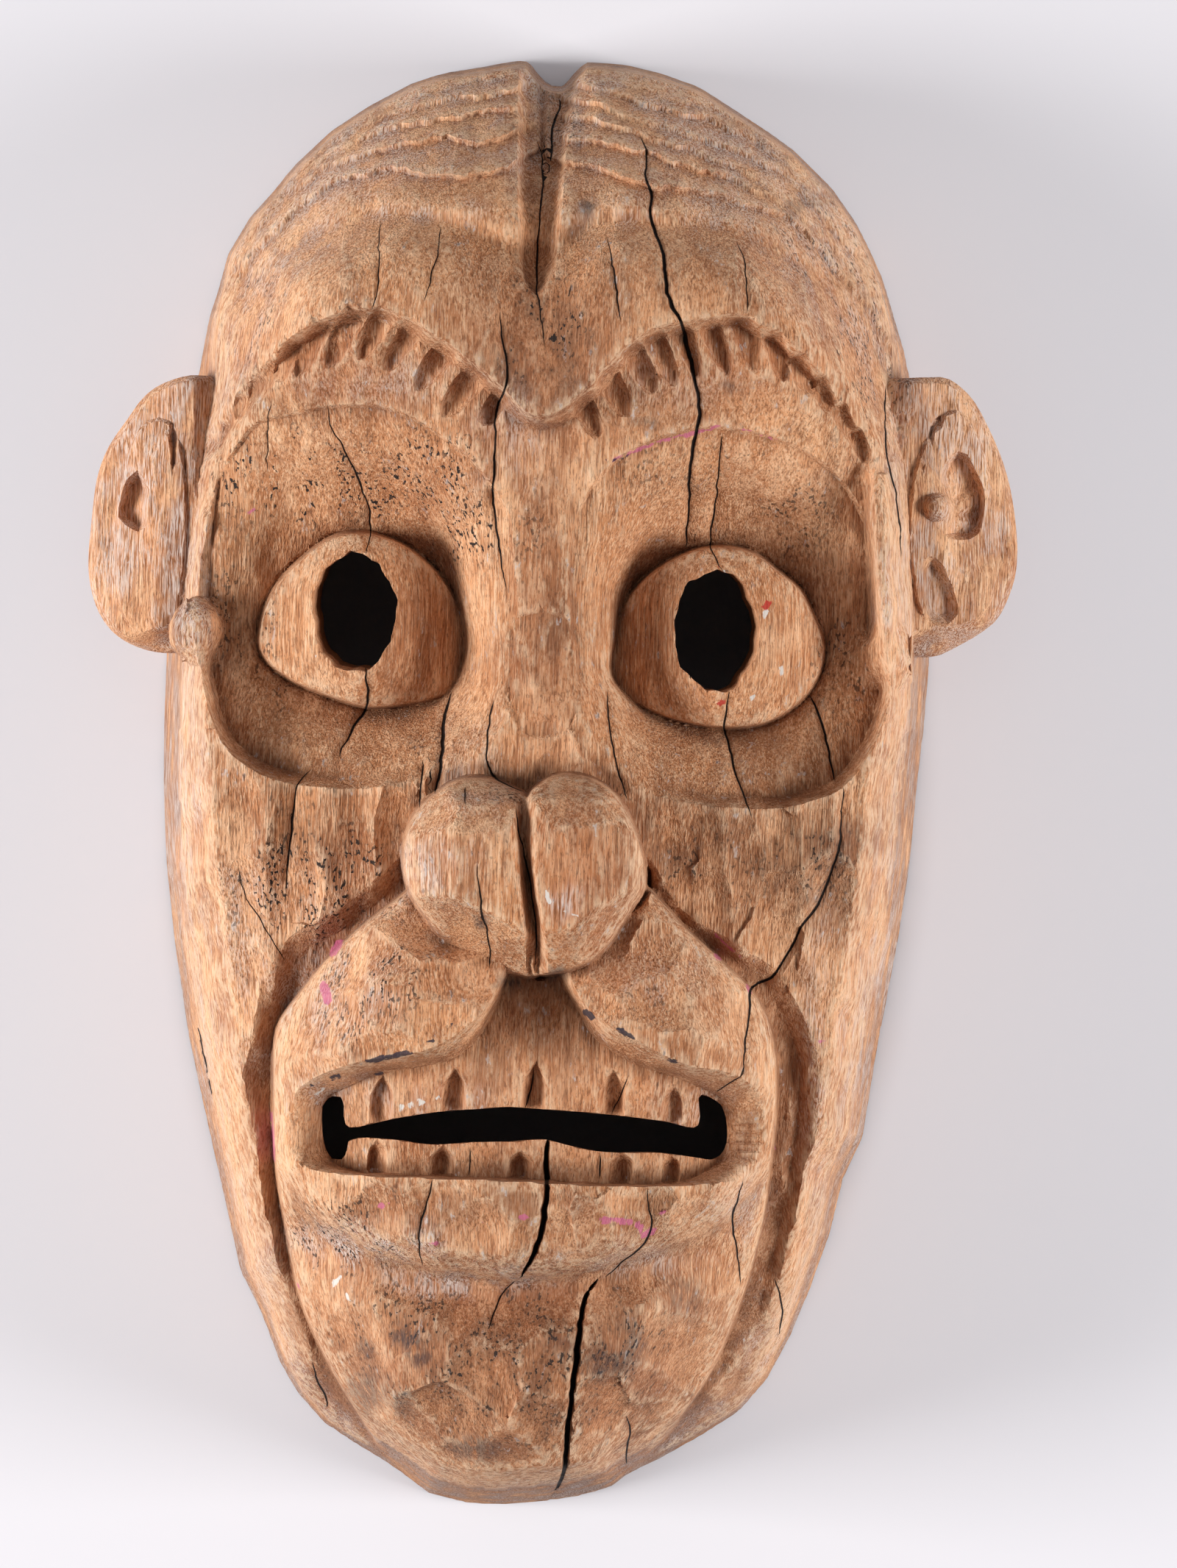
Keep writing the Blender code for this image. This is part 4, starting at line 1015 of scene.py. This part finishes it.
    # what the finish follows
    shape = np.maximum(z, 0.0)
    # darker in hollows, creases and cuts: painted shade, with the dirt that settles there
    recess = np.clip((blur(shape, 2.4) - shape) / 2.2, 0, 1)
    recess = np.maximum(recess, np.clip((blur(shape, 1.0) - shape) / 0.9, 0, 1))
    # thin dark lines under the forehead ledges: painted shade
    recess = np.maximum(recess, 0.85 * cleft)
    recess = np.maximum(recess, 0.3 * under_ledge)
    recess = recess * (1.0 - 0.8 * smooth(-1.0, 1.0, d_groove))
    recess = recess * (1.0 - 0.5 * np.exp(-((d_top / 2.0) ** 2)))
    # painted shade along the crease over the brow and under the lower lip
    top_line = np.exp(-(((d_top - 1.2) / 1.5) ** 2)) * smooth(1.0, 6.0, d_out)
    recess = np.maximum(recess, 0.5 * top_line * smooth(-0.9, 0.3, torn + wave))
    chin_line = np.exp(-(((d_lip + 1.3) / 1.1) ** 2)) * (d_muz > 1.0) * smooth(1600, 1640, VG)
    recess = np.maximum(recess, 0.55 * chin_line)
    recess = recess * (1.0 - 0.45 * smooth(0.0, 0.4, notched))
    # paler on ridges: painted highlight with wear; also painted highlight on the edge of the lips' cut band and
    # on the shelf under the lower lip
    proud = np.clip((shape - blur(shape, 1.0)) / 0.45, 0, 1)
    proud = np.maximum(proud, 0.9 * np.exp(-(((d_lips + 0.2) / 0.6) ** 2)))
    lip_edge = np.exp(-(((d_lip - 2.0) / 2.2) ** 2)) * (d_muz > 1.0) * smooth(1600, 1640, VG)
    proud = np.maximum(proud, 0.6 * lip_edge)
    proud = proud * (1.0 - 0.8 * cleft)
    # paler along the top of the forehead by the outline: painted light where the surface turns away, with the
    # grey bloom there
    crown_bloom_and_light = 0.55 * np.exp(-((np.clip(d_out, 0, None) / 15.0) ** 2)) * smooth(520, 360, VG)
    fibres_torn = smooth(0.1, 0.55, noise(UG / 5.0, VG / 55.0, 141, 2))
    on_nose = smooth(1.2, 0.5, np.hypot((UG - 640.0) / 55.0, (VG - 1185.0) / 75.0))
    # dark streaks: torn fibres on the nose, and painted shade under the forehead ledges
    streak = np.maximum(under_ledge, 0.8 * fibres_torn * on_nose)
    near_crack = np.where(d_out < 2.2, 9.0, near_crack)
    crack = np.where(d_out < 2.2, 9.0, crack)
    channel = smooth(-0.3, 1.2, d_chan) * smooth(0.4, -0.6, d_muz) * smooth(1.0, -0.5, np.maximum(*noses))
    channel = np.maximum(channel, 0.35 * smooth(0.0, 3.0, d_teeth) * smooth(1490, 1430, VG))
    # paler side walls down to the rim: painted light where the lamps fall on them, laid in with the grey bloom
    wall_bloom_and_light = smooth(0.9, 0.3, x * 0 + np.clip(d_out / width, 0, 1)) * 0.55

    return dict(
        front=z, hollow=hollow, d_gap=d_gap,
        crack=crack, near_crack=near_crack, crack_half=crack_half,
        facet=facet, recess=recess, proud=proud, channel=channel,
        streak=streak, grime_and_shade=np.maximum(blobs(GRIME_AND_SHADE), 0.9 * broken), tan=blobs(TAN), bloom_and_light=np.maximum(np.maximum(blobs(BLOOM_AND_LIGHT), wall_bloom_and_light), crown_bloom_and_light),
        stain_and_shadow=blobs(STAINS_AND_SHADOW), specks=blobs(SPECKS),
        pink=strokes(PINK), blue=strokes(BLUE), white=strokes(WHITE), red=strokes(RED),
    )


# ------------------------------------------------------------- the solid shape
def ear_fields(points, side):
    """Front and back heights of an ear plate, and the distance inside it."""
    d = region(points)
    if side < 0:
        dish = [(186, 640), (203, 664), (201, 680), (197, 722), (183, 721), (166, 708),
                (159, 698), (166, 674), (174, 652)]
        groove = [(218, 571), (232, 575), (241, 588), (244, 610), (241, 642), (234, 640),
                  (233, 612), (229, 592), (222, 580)]
        plateau = [(226, 572), (205, 572), (184, 594), (170, 636), (160, 690), (157, 760),
                   (165, 830), (190, 862), (232, 850), (250, 760), (250, 640), (240, 590)]
    else:
        dish = [(1284, 632), (1296, 616), (1312, 616), (1328, 644), (1338, 668),
                (1337, 700), (1331, 724), (1314, 734), (1284, 727), (1290, 706),
                (1291, 690), (1284, 672), (1278, 656)]
        groove = [(1288, 562), (1274, 568), (1262, 586), (1255, 612), (1253, 642),
                  (1260, 640), (1263, 616), (1270, 592), (1280, 578)]
        plateau = [(1284, 564), (1304, 560), (1326, 588), (1345, 650), (1356, 730),
                   (1352, 800), (1330, 842), (1262, 846), (1240, 760), (1245, 640)]
    base = 50.0 - 12.0 * np.clip(np.abs(UG - (262.0 if side < 0 else 1232.0)) / 125.0, 0, 1.2)
    cell, own = scoops((UG + 40) / 34.0, VG / 84.0, 141)
    base = base + 1.8 * cell + 0.3 * own
    base = base - 1.6 * smooth(0.35, -0.35, region(plateau))
    front = base - 3.0 * (1.0 - np.clip(d / 2.0, 0.0, 1.0)) ** 2
    front = front - 5.5 * smooth(-0.3, 1.6, region(dish))
    front = front - 3.8 * smooth(-0.4, 1.2, region(groove))
    if side > 0:
        fan = np.arctan2(VG - 700.0, UG - 1262.0)
        front = front + 1.1 * np.abs(np.sin(5.5 * fan)) * smooth(-0.2, 1.4, region(dish))
        bump = np.hypot(UG - 1274, VG - 690) / 19.0
        front = front + 5.0 * np.sqrt(np.clip(1.0 - bump**2, 0, 1))
        scoop = region([(1256, 756), (1276, 760), (1290, 784), (1300, 812), (1302, 840),
                        (1262, 848), (1250, 800)])
        front = front - 4.5 * smooth(-0.3, 3.0, scoop)
        front = front - 8.0 * smooth(0.0, 34.0, VG - 846.0 - 0.1 * (1320 - UG))
    else:
        front = front - 8.0 * smooth(0.0, 34.0, VG - 858.0 + 0.35 * (UG - 190))
    return d, front, 25.0 + 3.0 * noise(UG / 50.0, VG / 50.0, 103)


def solid(fields):
    """The implicit field of the whole block on the lattice, negative inside."""
    top = 146.0
    nz = int((top + 3.0) / STEP)
    zs = (-3.0 + STEP * (np.arange(nz) + 0.37)).astype(np.float32)
    front = fields["front"].astype(np.float32)
    hollow = fields["hollow"].astype(np.float32)
    ga, gb = np.gradient(front, STEP)
    slope_f = 1.0 / np.sqrt(1.0 + ga**2 + gb**2)
    ga, gb = np.gradient(hollow, STEP)
    slope_h = 1.0 / np.sqrt(1.0 + ga**2 + gb**2)
    f = (zs - front[..., None]) * slope_f[..., None]
    np.maximum(f, (hollow[..., None] - zs) * slope_h[..., None], out=f)

    def window(low, high):
        i0, i1 = np.searchsorted(UG[:, 0], (low[0], high[0]))
        j0 = NB - np.searchsorted(VG[0][::-1], high[1])
        j1 = NB - np.searchsorted(VG[0][::-1], low[1])
        return slice(i0, i1), slice(j0, j1)

    for points, side in ((EAR_L, -1), (EAR_R, 1)):
        d, face, back = ear_fields(points, side)
        p = np.array(points)
        box = window(p.min(0) - 20, p.max(0) + 20)
        ear = np.maximum(zs - face[box][..., None], back[box][..., None] - zs)
        ear = np.maximum(ear * 0.8, -d[box][..., None])
        block = f[box]
        keep = hollow[box][..., None] - zs  # never into the hollow
        f[box] = np.minimum(block, np.maximum(ear, keep + 2.0)).astype(np.float32)
    for cu, cv, cz, radius in WARTS:
        reach = (radius + 2.0) * SCALE
        box = window((cu - reach, cv - reach), (cu + reach, cv + reach))
        lumps = 0.5 * noise(UG[box] / 16.0, VG[box] / 16.0, 107)[..., None]
        r = np.sqrt(
            ((UG[box] - cu) / SCALE)[..., None] ** 2
            + (0.85 * (VG[box] - cv) / SCALE)[..., None] ** 2
            + (0.8 * (zs - cz)) ** 2
        )
        lump = r - radius + lumps
        meet = np.clip(1.0 - np.abs(f[box] - lump) / 4.0, 0.0, 1.0)
        f[box] = (np.minimum(f[box], lump) - meet**2).astype(np.float32)
    for cu, cv, hu, hv, lean_u, lean_v in HOLES:
        box = window((cu - 110, cv - 130), (cu + 110, cv + 130))
        under = 80.0 - zs
        du = ((UG[box] - cu) / SCALE)[..., None] - lean_u * under
        dv = ((VG[box] - cv) / SCALE)[..., None] + lean_v * under
        angle = np.arctan2(dv / hv, du / hu)
        rough = 1.0 + 0.022 * np.sin(5 * angle + cu) + 0.018 * np.sin(9 * angle + cv)
        rough = rough + 0.012 * np.sin(17 * angle + 2 * cu)
        level = np.sqrt((du / (hu / SCALE)) ** 2 + (dv / (hv / SCALE)) ** 2)
        hole = (rough - level) * (hu / SCALE)
        f[box] = np.maximum(f[box], hole).astype(np.float32)
    gap = fields["d_gap"]
    box = window((420, 1470), (1010, 1600))
    above = (30.0 - zs) * 0.5  # only the wall over the hollow is cut
    f[box] = np.maximum(
        f[box], np.minimum(gap[box][..., None], -above)
    ).astype(np.float32)
    return f, zs


def surface(f, zs):
    """Surface nets: one vertex to each cell that the surface crosses."""
    inside = f < 0
    ni, nj, nk = (n - 1 for n in f.shape)
    some = np.zeros((ni, nj, nk), bool)
    every = np.ones((ni, nj, nk), bool)
    for di in (0, 1):
        for dj in (0, 1):
            for dk in (0, 1):
                corner = inside[di : di + ni, dj : dj + nj, dk : dk + nk]
                some |= corner
                every &= corner
    some &= ~every
    i, j, k = np.nonzero(some)
    number = np.full((ni, nj, nk), -1, np.int32)
    number[i, j, k] = np.arange(len(i), dtype=np.int32)
    total = np.zeros((len(i), 3))
    count = np.zeros(len(i))
    for axis in range(3):
        for p in (0, 1):
            for q in (0, 1):
                start = [0, 0, 0]
                others = [x for x in range(3) if x != axis]
                start[others[0]], start[others[1]] = p, q
                end = list(start)
                end[axis] = 1
                f0 = f[i + start[0], j + start[1], k + start[2]]
                f1 = f[i + end[0], j + end[1], k + end[2]]
                crosses = (f0 < 0) != (f1 < 0)
                t = np.where(crosses, f0 / np.where(crosses, f0 - f1, 1.0), 0.0)
                point = np.array(start, float)[None, :] + np.zeros((len(i), 3))
                point[:, axis] = t
                total[crosses] += point[crosses]
                count[crosses] += 1
    place = total / count[:, None]
    a = A_LOW + STEP * (i + place[:, 0])
    b = B_LOW + STEP * (j + place[:, 1])
    z = zs[0] + STEP * (k + place[:, 2])
    quads = []
    for axis in range(3):
        x, y = [n for n in range(3) if n != axis]
        low = [slice(1, n) for n in (ni, nj, nk)]
        low[axis] = slice(0, (ni, nj, nk)[axis])
        high = list(low)
        high[axis] = slice(1, (ni, nj, nk)[axis] + 1)
        one, two = inside[tuple(low)], inside[tuple(high)]
        for starts, flip in ((one & ~two, False), (~one & two, True)):
            p = np.array(np.nonzero(starts)).T
            p[:, x] += 1
            p[:, y] += 1
            corners = []
            for dx, dy in ((0, 0), (-1, 0), (-1, -1), (0, -1)):
                q = p.copy()
                q[:, x] += dx
                q[:, y] += dy
                corners.append(number[q[:, 0], q[:, 1], q[:, 2]])
            quad = np.stack(corners, axis=1)
            if flip != (axis == 1):
                quad = quad[:, ::-1]
            quads.append(quad)
    return np.stack([a, b, z], axis=1), np.concatenate(quads)


def mesh_from(name, points, faces):
    mesh = bpy.data.meshes.new(name)
    mesh.vertices.add(len(points))
    mesh.vertices.foreach_set("co", np.asarray(points, np.float32).ravel())
    size = faces.shape[1]
    mesh.loops.add(faces.size)
    mesh.loops.foreach_set("vertex_index", faces.astype(np.int32).ravel())
    mesh.polygons.add(len(faces))
    mesh.polygons.foreach_set(
        "loop_start", np.arange(0, faces.size, size, dtype=np.int32)
    )
    mesh.update(calc_edges=True)
    mesh.validate()
    return mesh


def sample(field, a, b):
    """A layout field at places between the lattice lines."""
    x = np.clip((a - A_LOW) / STEP, 0, NA - 1.001)
    y = np.clip((b - B_LOW) / STEP, 0, NB - 1.001)
    i, j = x.astype(int), y.astype(int)
    fx, fy = x - i, y - j
    return (
        field[i, j] * (1 - fx) * (1 - fy)
        + field[i + 1, j] * fx * (1 - fy)
        + field[i, j + 1] * (1 - fx) * fy
        + field[i + 1, j + 1] * fx * fy
    )


def carved_mask(fields, triangles):
    f, zs = solid(fields)
    points, quads = surface(f, zs)
    del f
    world = to_world(points[:, 0], points[:, 1], points[:, 2])
    mesh = mesh_from("mask_carving", world, quads)
    obj = bpy.data.objects.new("mask_carving", mesh)
    bpy.context.scene.collection.objects.link(obj)
    front = sample(fields["front"], points[:, 0], points[:, 1])
    hollow = sample(fields["hollow"], points[:, 0], points[:, 1])
    carved = np.abs(points[:, 2] - front) < np.abs(points[:, 2] - hollow)
    group = obj.vertex_groups.new(name="plain")
    group.add(np.nonzero(carved)[0].tolist(), 0.35, "REPLACE")
    group.add(np.nonzero(~carved)[0].tolist(), 0.6, "REPLACE")
    thin = obj.modifiers.new("thin", "DECIMATE")
    thin.vertex_group = "plain"
    thin.vertex_group_factor = 1.0
    thin.ratio = min(1.0, triangles / (2.0 * len(quads)))
    thin.use_collapse_triangulate = True
    bpy.context.view_layer.update()
    graph = bpy.context.evaluated_depsgraph_get()
    done = bpy.data.meshes.new_from_object(obj.evaluated_get(graph))
    done.name = "carved_mask"
    obj.modifiers.clear()
    obj.vertex_groups.clear()
    obj.data = done
    bpy.data.meshes.remove(mesh)
    obj.name = "carved_mask"
    done.shade_smooth()
    done.set_sharp_from_angle(angle=math.radians(42))
    return obj


def add_attributes(obj, fields):
    mesh = obj.data
    n = len(mesh.vertices)
    co = np.empty(n * 3, np.float32)
    mesh.vertices.foreach_get("co", co)
    co = co.reshape(-1, 3).astype(float) * 1000.0
    k = 1.0 - co[:, 2] / APEX
    x, y = (co[:, 0] - AXIS_X) / k, (co[:, 1] - AXIS_Y) / k
    c, s = math.cos(ROLL), math.sin(ROLL)
    a, b = c * x + s * y, -s * x + c * y
    front, hollow = sample(fields["front"], a, b), sample(fields["hollow"], a, b)
    behind = (np.abs(co[:, 2] - hollow) < np.abs(co[:, 2] - front)) & (hollow > 1.0)
    behind |= co[:, 2] < 0.3

    def put(name, values):
        layer = mesh.attributes.new(name, "FLOAT", "POINT")
        layer.data.foreach_set("value", values.astype(np.float32))

    put("behind", behind.astype(float))
    for name in ("recess", "proud", "channel", "grime_and_shade", "tan", "streak", "bloom_and_light", "stain_and_shadow", "specks", "facet"):
        put(name, np.where(behind, 0.0, sample(fields[name], a, b)))
    for name in ("crack", "near_crack", "pink", "blue", "white", "red"):
        put(name, np.where(behind, 9.0, sample(fields[name], a, b)))
    put("crack_half", np.where(behind, 0.0, sample(fields["crack_half"], a, b)))


# -------------------------------------------------------------------- finishes
def linear(colour):
    c = np.array(colour, float) / 255.0
    return (*np.where(c <= 0.04045, c / 12.92, ((c + 0.055) / 1.055) ** 2.4), 1.0)


def wood_material():
    material = bpy.data.materials.new("weathered_raw_wood")
    material.use_nodes = True
    tree = material.node_tree
    shader = tree.nodes["Principled BSDF"]

    def link(source, socket):
        if isinstance(source, (int, float)):
            socket.default_value = source
        elif isinstance(source, tuple):
            socket.default_value = source
        else:
            tree.links.new(source, socket)

    def calc(operation, a, b=0.0, clamp=False):
        node = tree.nodes.new("ShaderNodeMath")
        node.operation = operation
        node.use_clamp = clamp
        link(a, node.inputs[0])
        link(b, node.inputs[1])
        return node.outputs[0]

    def step(value, low, high, top=1.0):
        node = tree.nodes.new("ShaderNodeMapRange")
        node.interpolation_type = "SMOOTHSTEP"
        link(value, node.inputs["Value"])
        node.inputs["From Min"].default_value = low
        node.inputs["From Max"].default_value = high
        node.inputs["To Max"].default_value = top
        return node.outputs["Result"]

    def mix(factor, a, b, blend="MIX"):
        node = tree.nodes.new("ShaderNodeMix")
        node.data_type = "RGBA"
        node.blend_type = blend
        link(factor, node.inputs["Factor"])
        link(a, node.inputs[6])
        link(b, node.inputs[7])
        return node.outputs[2]

    def attribute(name):
        node = tree.nodes.new("ShaderNodeAttribute")
        node.attribute_name = name
        return node.outputs["Fac"]

    place = tree.nodes.new("ShaderNodeTexCoord").outputs["Object"]

    def grain(x, y, z, detail=2.0, rough=0.55, offset=0.0, warp=0.0):
        scaled = tree.nodes.new("ShaderNodeMapping")
        scaled.inputs["Scale"].default_value = (x, y, z)
        scaled.inputs["Location"].default_value = (offset, 1.7 * offset, 0.6 * offset)
        link(place, scaled.inputs["Vector"])
        node = tree.nodes.new("ShaderNodeTexNoise")
        node.inputs["Scale"].default_value = 1.0
        node.inputs["Detail"].default_value = detail
        node.inputs["Roughness"].default_value = rough
        node.inputs["Distortion"].default_value = warp
        link(scaled.outputs[0], node.inputs["Vector"])
        return node.outputs["Fac"]

    fibres = grain(1150, 62, 1150, 3.0, 0.60, 3.0, 0.25)
    threads = grain(2600, 190, 2600, 2.0, 0.6, 7.0, 0.2)
    dots = grain(2300, 800, 2300, 2.0, 0.6, 11.0)
    bands = grain(110, 8, 110, 3.0, 0.55, 17.0, 0.8)
    clouds = grain(34, 22, 34, 4.0, 0.6, 23.0)
    patches = grain(120, 60, 120, 4.0, 0.65, 29.0)
    fine_clouds = grain(620, 260, 620, 3.0, 0.65, 31.0)

    # raw wood: warm tan, its fibres and pores
    colour = mix(step(clouds, 0.34, 0.66), linear((240, 182, 136)), linear((226, 160, 112)))
    colour = mix(step(bands, 0.36, 0.66, 0.6), colour, linear((206, 138, 90)))
    tone = calc("MULTIPLY_ADD", attribute("facet"), 0.5)
    tone.node.inputs[2].default_value = 0.5
    colour = mix(step(tone, 0.10, 0.90, 0.70), colour, linear((170, 108, 70)))
    colour = mix(step(fibres, 0.50, 0.68, 0.60), colour, linear((156, 98, 62)))
    colour = mix(step(fibres, 0.47, 0.34, 0.50), colour, linear((254, 212, 172)))
    colour = mix(step(patches, 0.52, 0.64, 0.38), colour, linear((172, 118, 84)))
    colour = mix(step(patches, 0.46, 0.34, 0.35), colour, linear((252, 204, 162)))
    colour = mix(step(threads, 0.53, 0.66, 0.62), colour, linear((120, 74, 48)))
    colour = mix(step(threads, 0.47, 0.36, 0.40), colour, linear((252, 218, 184)))
    colour = mix(step(dots, 0.56, 0.66, 0.42), colour, linear((104, 64, 44)))

    # darker in marked places; at the brow's centre painted shade under its V
    colour = mix(attribute("tan"), colour, linear((214, 198, 190)), "MULTIPLY")

    # painted shade in cuts and creases, with the dirt that settled there, and the brown of the channel
    recess = attribute("recess")
    colour = mix(calc("MULTIPLY", attribute("channel"), 0.38), colour, linear((146, 94, 66)))
    crease_dirt_and_shade = calc("MULTIPLY", recess, step(patches, 0.25, 0.65))
    colour = mix(calc("MULTIPLY", crease_dirt_and_shade, 0.60, True), colour, linear((104, 66, 46)))
    # grime, and painted shade at the brow's centre, under the nose and in the mouth corners
    grime_and_shade = calc("MULTIPLY", attribute("grime_and_shade"), step(patches, 0.36, 0.60))
    colour = mix(calc("MULTIPLY", grime_and_shade, 0.75, True), colour, linear((118, 80, 58)))

    # dark streaks: torn fibres, and painted shade under the forehead ledges
    streak = calc("MULTIPLY", attribute("streak"), step(fibres, 0.42, 0.58, 0.85))
    colour = mix(streak, colour, linear((116, 76, 54)))

    # grey bloom of weathering on the high fibres; the same pale grey is also painted light on the ears, the
    # side walls and along the top edge of the forehead
    bloom_and_light = calc("MULTIPLY", attribute("bloom_and_light"), step(patches, 0.36, 0.62))
    bloom_and_light = calc("MULTIPLY", bloom_and_light, step(threads, 0.60, 0.42))
    colour = mix(calc("MULTIPLY", bloom_and_light, 0.80, True), colour, linear((226, 214, 208)))
    # paler ridges and edges: wear, and painted highlight
    wear_and_highlight = calc("MULTIPLY", attribute("proud"), step(fine_clouds, 0.42, 0.60, 0.55))
    colour = mix(wear_and_highlight, colour, linear((238, 204, 170)))
    flecks = calc("MULTIPLY", step(fine_clouds, 0.60, 0.68, 0.6), step(patches, 0.50, 0.60))
    colour = mix(flecks, colour, linear((206, 196, 192)))

    # mould specks and damp marks, and painted shadow along the nose's lower edge
    spots = grain(1150, 700, 1150, 2.0, 0.5, 41.0)
    speck = calc("MULTIPLY", step(spots, 0.575, 0.615), step(patches, 0.44, 0.56))
    speck = calc("MULTIPLY", speck, attribute("specks"))
    colour = mix(calc("MULTIPLY", speck, 1.6, True), colour, linear((50, 40, 36)))
    loose = calc("MULTIPLY", step(fine_clouds, 0.66, 0.72), step(clouds, 0.50, 0.62, 0.6))
    colour = mix(loose, colour, linear((70, 52, 42)))
    stain_and_shadow = calc("MULTIPLY", attribute("stain_and_shadow"), step(fine_clouds, 0.30, 0.52))
    colour = mix(calc("MULTIPLY", stain_and_shadow, 0.85, True), colour, linear((58, 54, 58)))

    # traces of paint
    ragged = calc("MULTIPLY_ADD", fine_clouds, 1.5)
    ragged.node.inputs[2].default_value = -0.75
    for name, tint, share in (
        ("pink", (206, 104, 146), 0.7),
        ("blue", (44, 46, 62), 0.9),
        ("white", (226, 222, 216), 0.85),
        ("red", (188, 52, 46), 0.9),
    ):
        reach = calc("ADD", attribute(name), ragged)
        colour = mix(step(reach, 0.12, -0.12, share), colour, linear(tint))

    # cracks
    depth = calc("DIVIDE", calc("ABSOLUTE", attribute("crack")), calc("MAXIMUM", attribute("crack_half"), 0.05))
    line = calc("MULTIPLY", step(depth, 0.95, 0.55), step(attribute("near_crack"), 1.8, 1.2))
    line = calc("MULTIPLY", line, step(attribute("crack_half"), 0.04, 0.14))
    colour = mix(line, colour, linear((28, 17, 12)))

    # the hollow: darker, older and plainer
    behind = attribute("behind")
    inside = mix(step(fibres, 0.40, 0.66, 0.6), linear((150, 104, 70)), linear((104, 68, 44)))
    inside = mix(step(clouds, 0.40, 0.62, 0.5), inside, linear((120, 84, 60)))
    colour = mix(behind, colour, inside)
    link(colour, shader.inputs["Base Color"])
    shader.inputs["Roughness"].default_value = 0.82
    shader.inputs["Specular IOR Level"].default_value = 0.22

    height = calc("MULTIPLY", fibres, -0.60)
    height = calc("ADD", height, calc("MULTIPLY", threads, -0.45))
    height = calc("ADD", height, calc("MULTIPLY", dots, -0.20))
    height = calc("ADD", height, calc("MULTIPLY", fine_clouds, 0.25))
    height = calc("ADD", height, calc("MULTIPLY", line, -1.5))
    bump = tree.nodes.new("ShaderNodeBump")
    bump.inputs["Strength"].default_value = 1.0
    bump.inputs["Distance"].default_value = 0.0008
    link(height, bump.inputs["Height"])
    link(bump.outputs[0], shader.inputs["Normal"])
    return material


def plain_material(name, colour, rough):
    material = bpy.data.materials.new(name)
    material.use_nodes = True
    shader = material.node_tree.nodes["Principled BSDF"]
    shader.inputs["Base Color"].default_value = (*colour, 1.0)
    shader.inputs["Roughness"].default_value = rough
    return material


# ---------------------------------------------------------------------- stage
def stage():
    bpy.ops.mesh.primitive_plane_add(size=6.0, location=(0, 0, -0.0004))
    floor = bpy.context.object
    floor.name = "floor"
    finish = plain_material("pale_floor_glowing_round_mask", (0.635, 0.625, 0.66), 0.9)
    glow = finish.node_tree.nodes["Principled BSDF"]
    # the floor glows outside an oval round the mask: painted light that lifts the shadows the mask casts on it
    glow.inputs["Emission Color"].default_value = (0.86, 0.84, 0.89, 1.0)
    tree = finish.node_tree
    place = tree.nodes.new("ShaderNodeTexCoord").outputs["Object"]
    oval = tree.nodes.new("ShaderNodeMapping")
    oval.inputs["Scale"].default_value = (1 / 0.090, 1 / 0.170, 0.0)
    tree.links.new(place, oval.inputs["Vector"])
    length = tree.nodes.new("ShaderNodeVectorMath")
    length.operation = "LENGTH"
    tree.links.new(oval.outputs[0], length.inputs[0])
    reach = tree.nodes.new("ShaderNodeMapRange")
    reach.interpolation_type = "SMOOTHSTEP"
    tree.links.new(length.outputs["Value"], reach.inputs["Value"])
    reach.inputs["From Min"].default_value = 0.96
    reach.inputs["From Max"].default_value = 1.10
    reach.inputs["To Max"].default_value = 0.22
    tree.links.new(reach.outputs["Result"], glow.inputs["Emission Strength"])
    floor.data.materials.append(finish)

    world = bpy.data.worlds.new("studio")
    bpy.context.scene.world = world
    world.use_nodes = True
    back = world.node_tree.nodes["Background"]
    back.inputs["Color"].default_value = (0.95, 0.96, 1.0, 1.0)
    back.inputs["Strength"].default_value = 0.20

    def lamp(name, azimuth, elevation, distance, size, power, colour):
        data = bpy.data.lights.new(name, "AREA")
        data.shape = "RECTANGLE"
        data.size, data.size_y = size
        data.energy = power
        data.color = colour
        lamp = bpy.data.objects.new(name, data)
        bpy.context.scene.collection.objects.link(lamp)
        a, e = math.radians(azimuth), math.radians(elevation)
        direction = np.array(
            [math.cos(a) * math.cos(e), math.sin(a) * math.cos(e), math.sin(e)]
        )
        lamp.location = direction * distance
        from mathutils import Vector

        lamp.rotation_euler = Vector(direction).to_track_quat("Z", "Y").to_euler()

    lamp("key_left", 186, 27, 1.7, (0.6, 0.6), 32.0, (1.0, 0.985, 0.965))
    lamp("key_right", -7, 28, 1.7, (0.6, 0.6), 24.0, (1.0, 0.985, 0.965))
    lamp("fill_top", 95, 62, 2.0, (1.2, 1.2), 1.4, (0.97, 0.98, 1.0))
    lamp("fill_low", 265, 55, 2.0, (1.2, 1.2), 1.0, (0.97, 0.98, 1.0))


def camera():
    data = bpy.data.cameras.new("camera")
    data.sensor_fit = "VERTICAL"
    data.sensor_height = 36.0
    data.sensor_width = 27.0
    data.lens = 36.0 * SCALE * APEX / 2132.0
    data.clip_start, data.clip_end = 0.05, 20.0
    eye = bpy.data.objects.new("camera", data)
    bpy.context.scene.collection.objects.link(eye)
    eye.location = (AXIS_X * 0.001, AXIS_Y * 0.001, APEX * 0.001)
    eye.rotation_euler = (0.0, 0.0, ROLL)
    bpy.context.scene.camera = eye


camera()
stage()
fields = carve()
mask = carved_mask(fields, 190000)
add_attributes(mask, fields)
mask.data.materials.append(wood_material())
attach(mask, "root")
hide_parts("mask")

bpy.context.scene.view_settings.view_transform = "Standard"
bpy.context.scene.view_settings.look = "None"
bpy.context.view_layer.update()
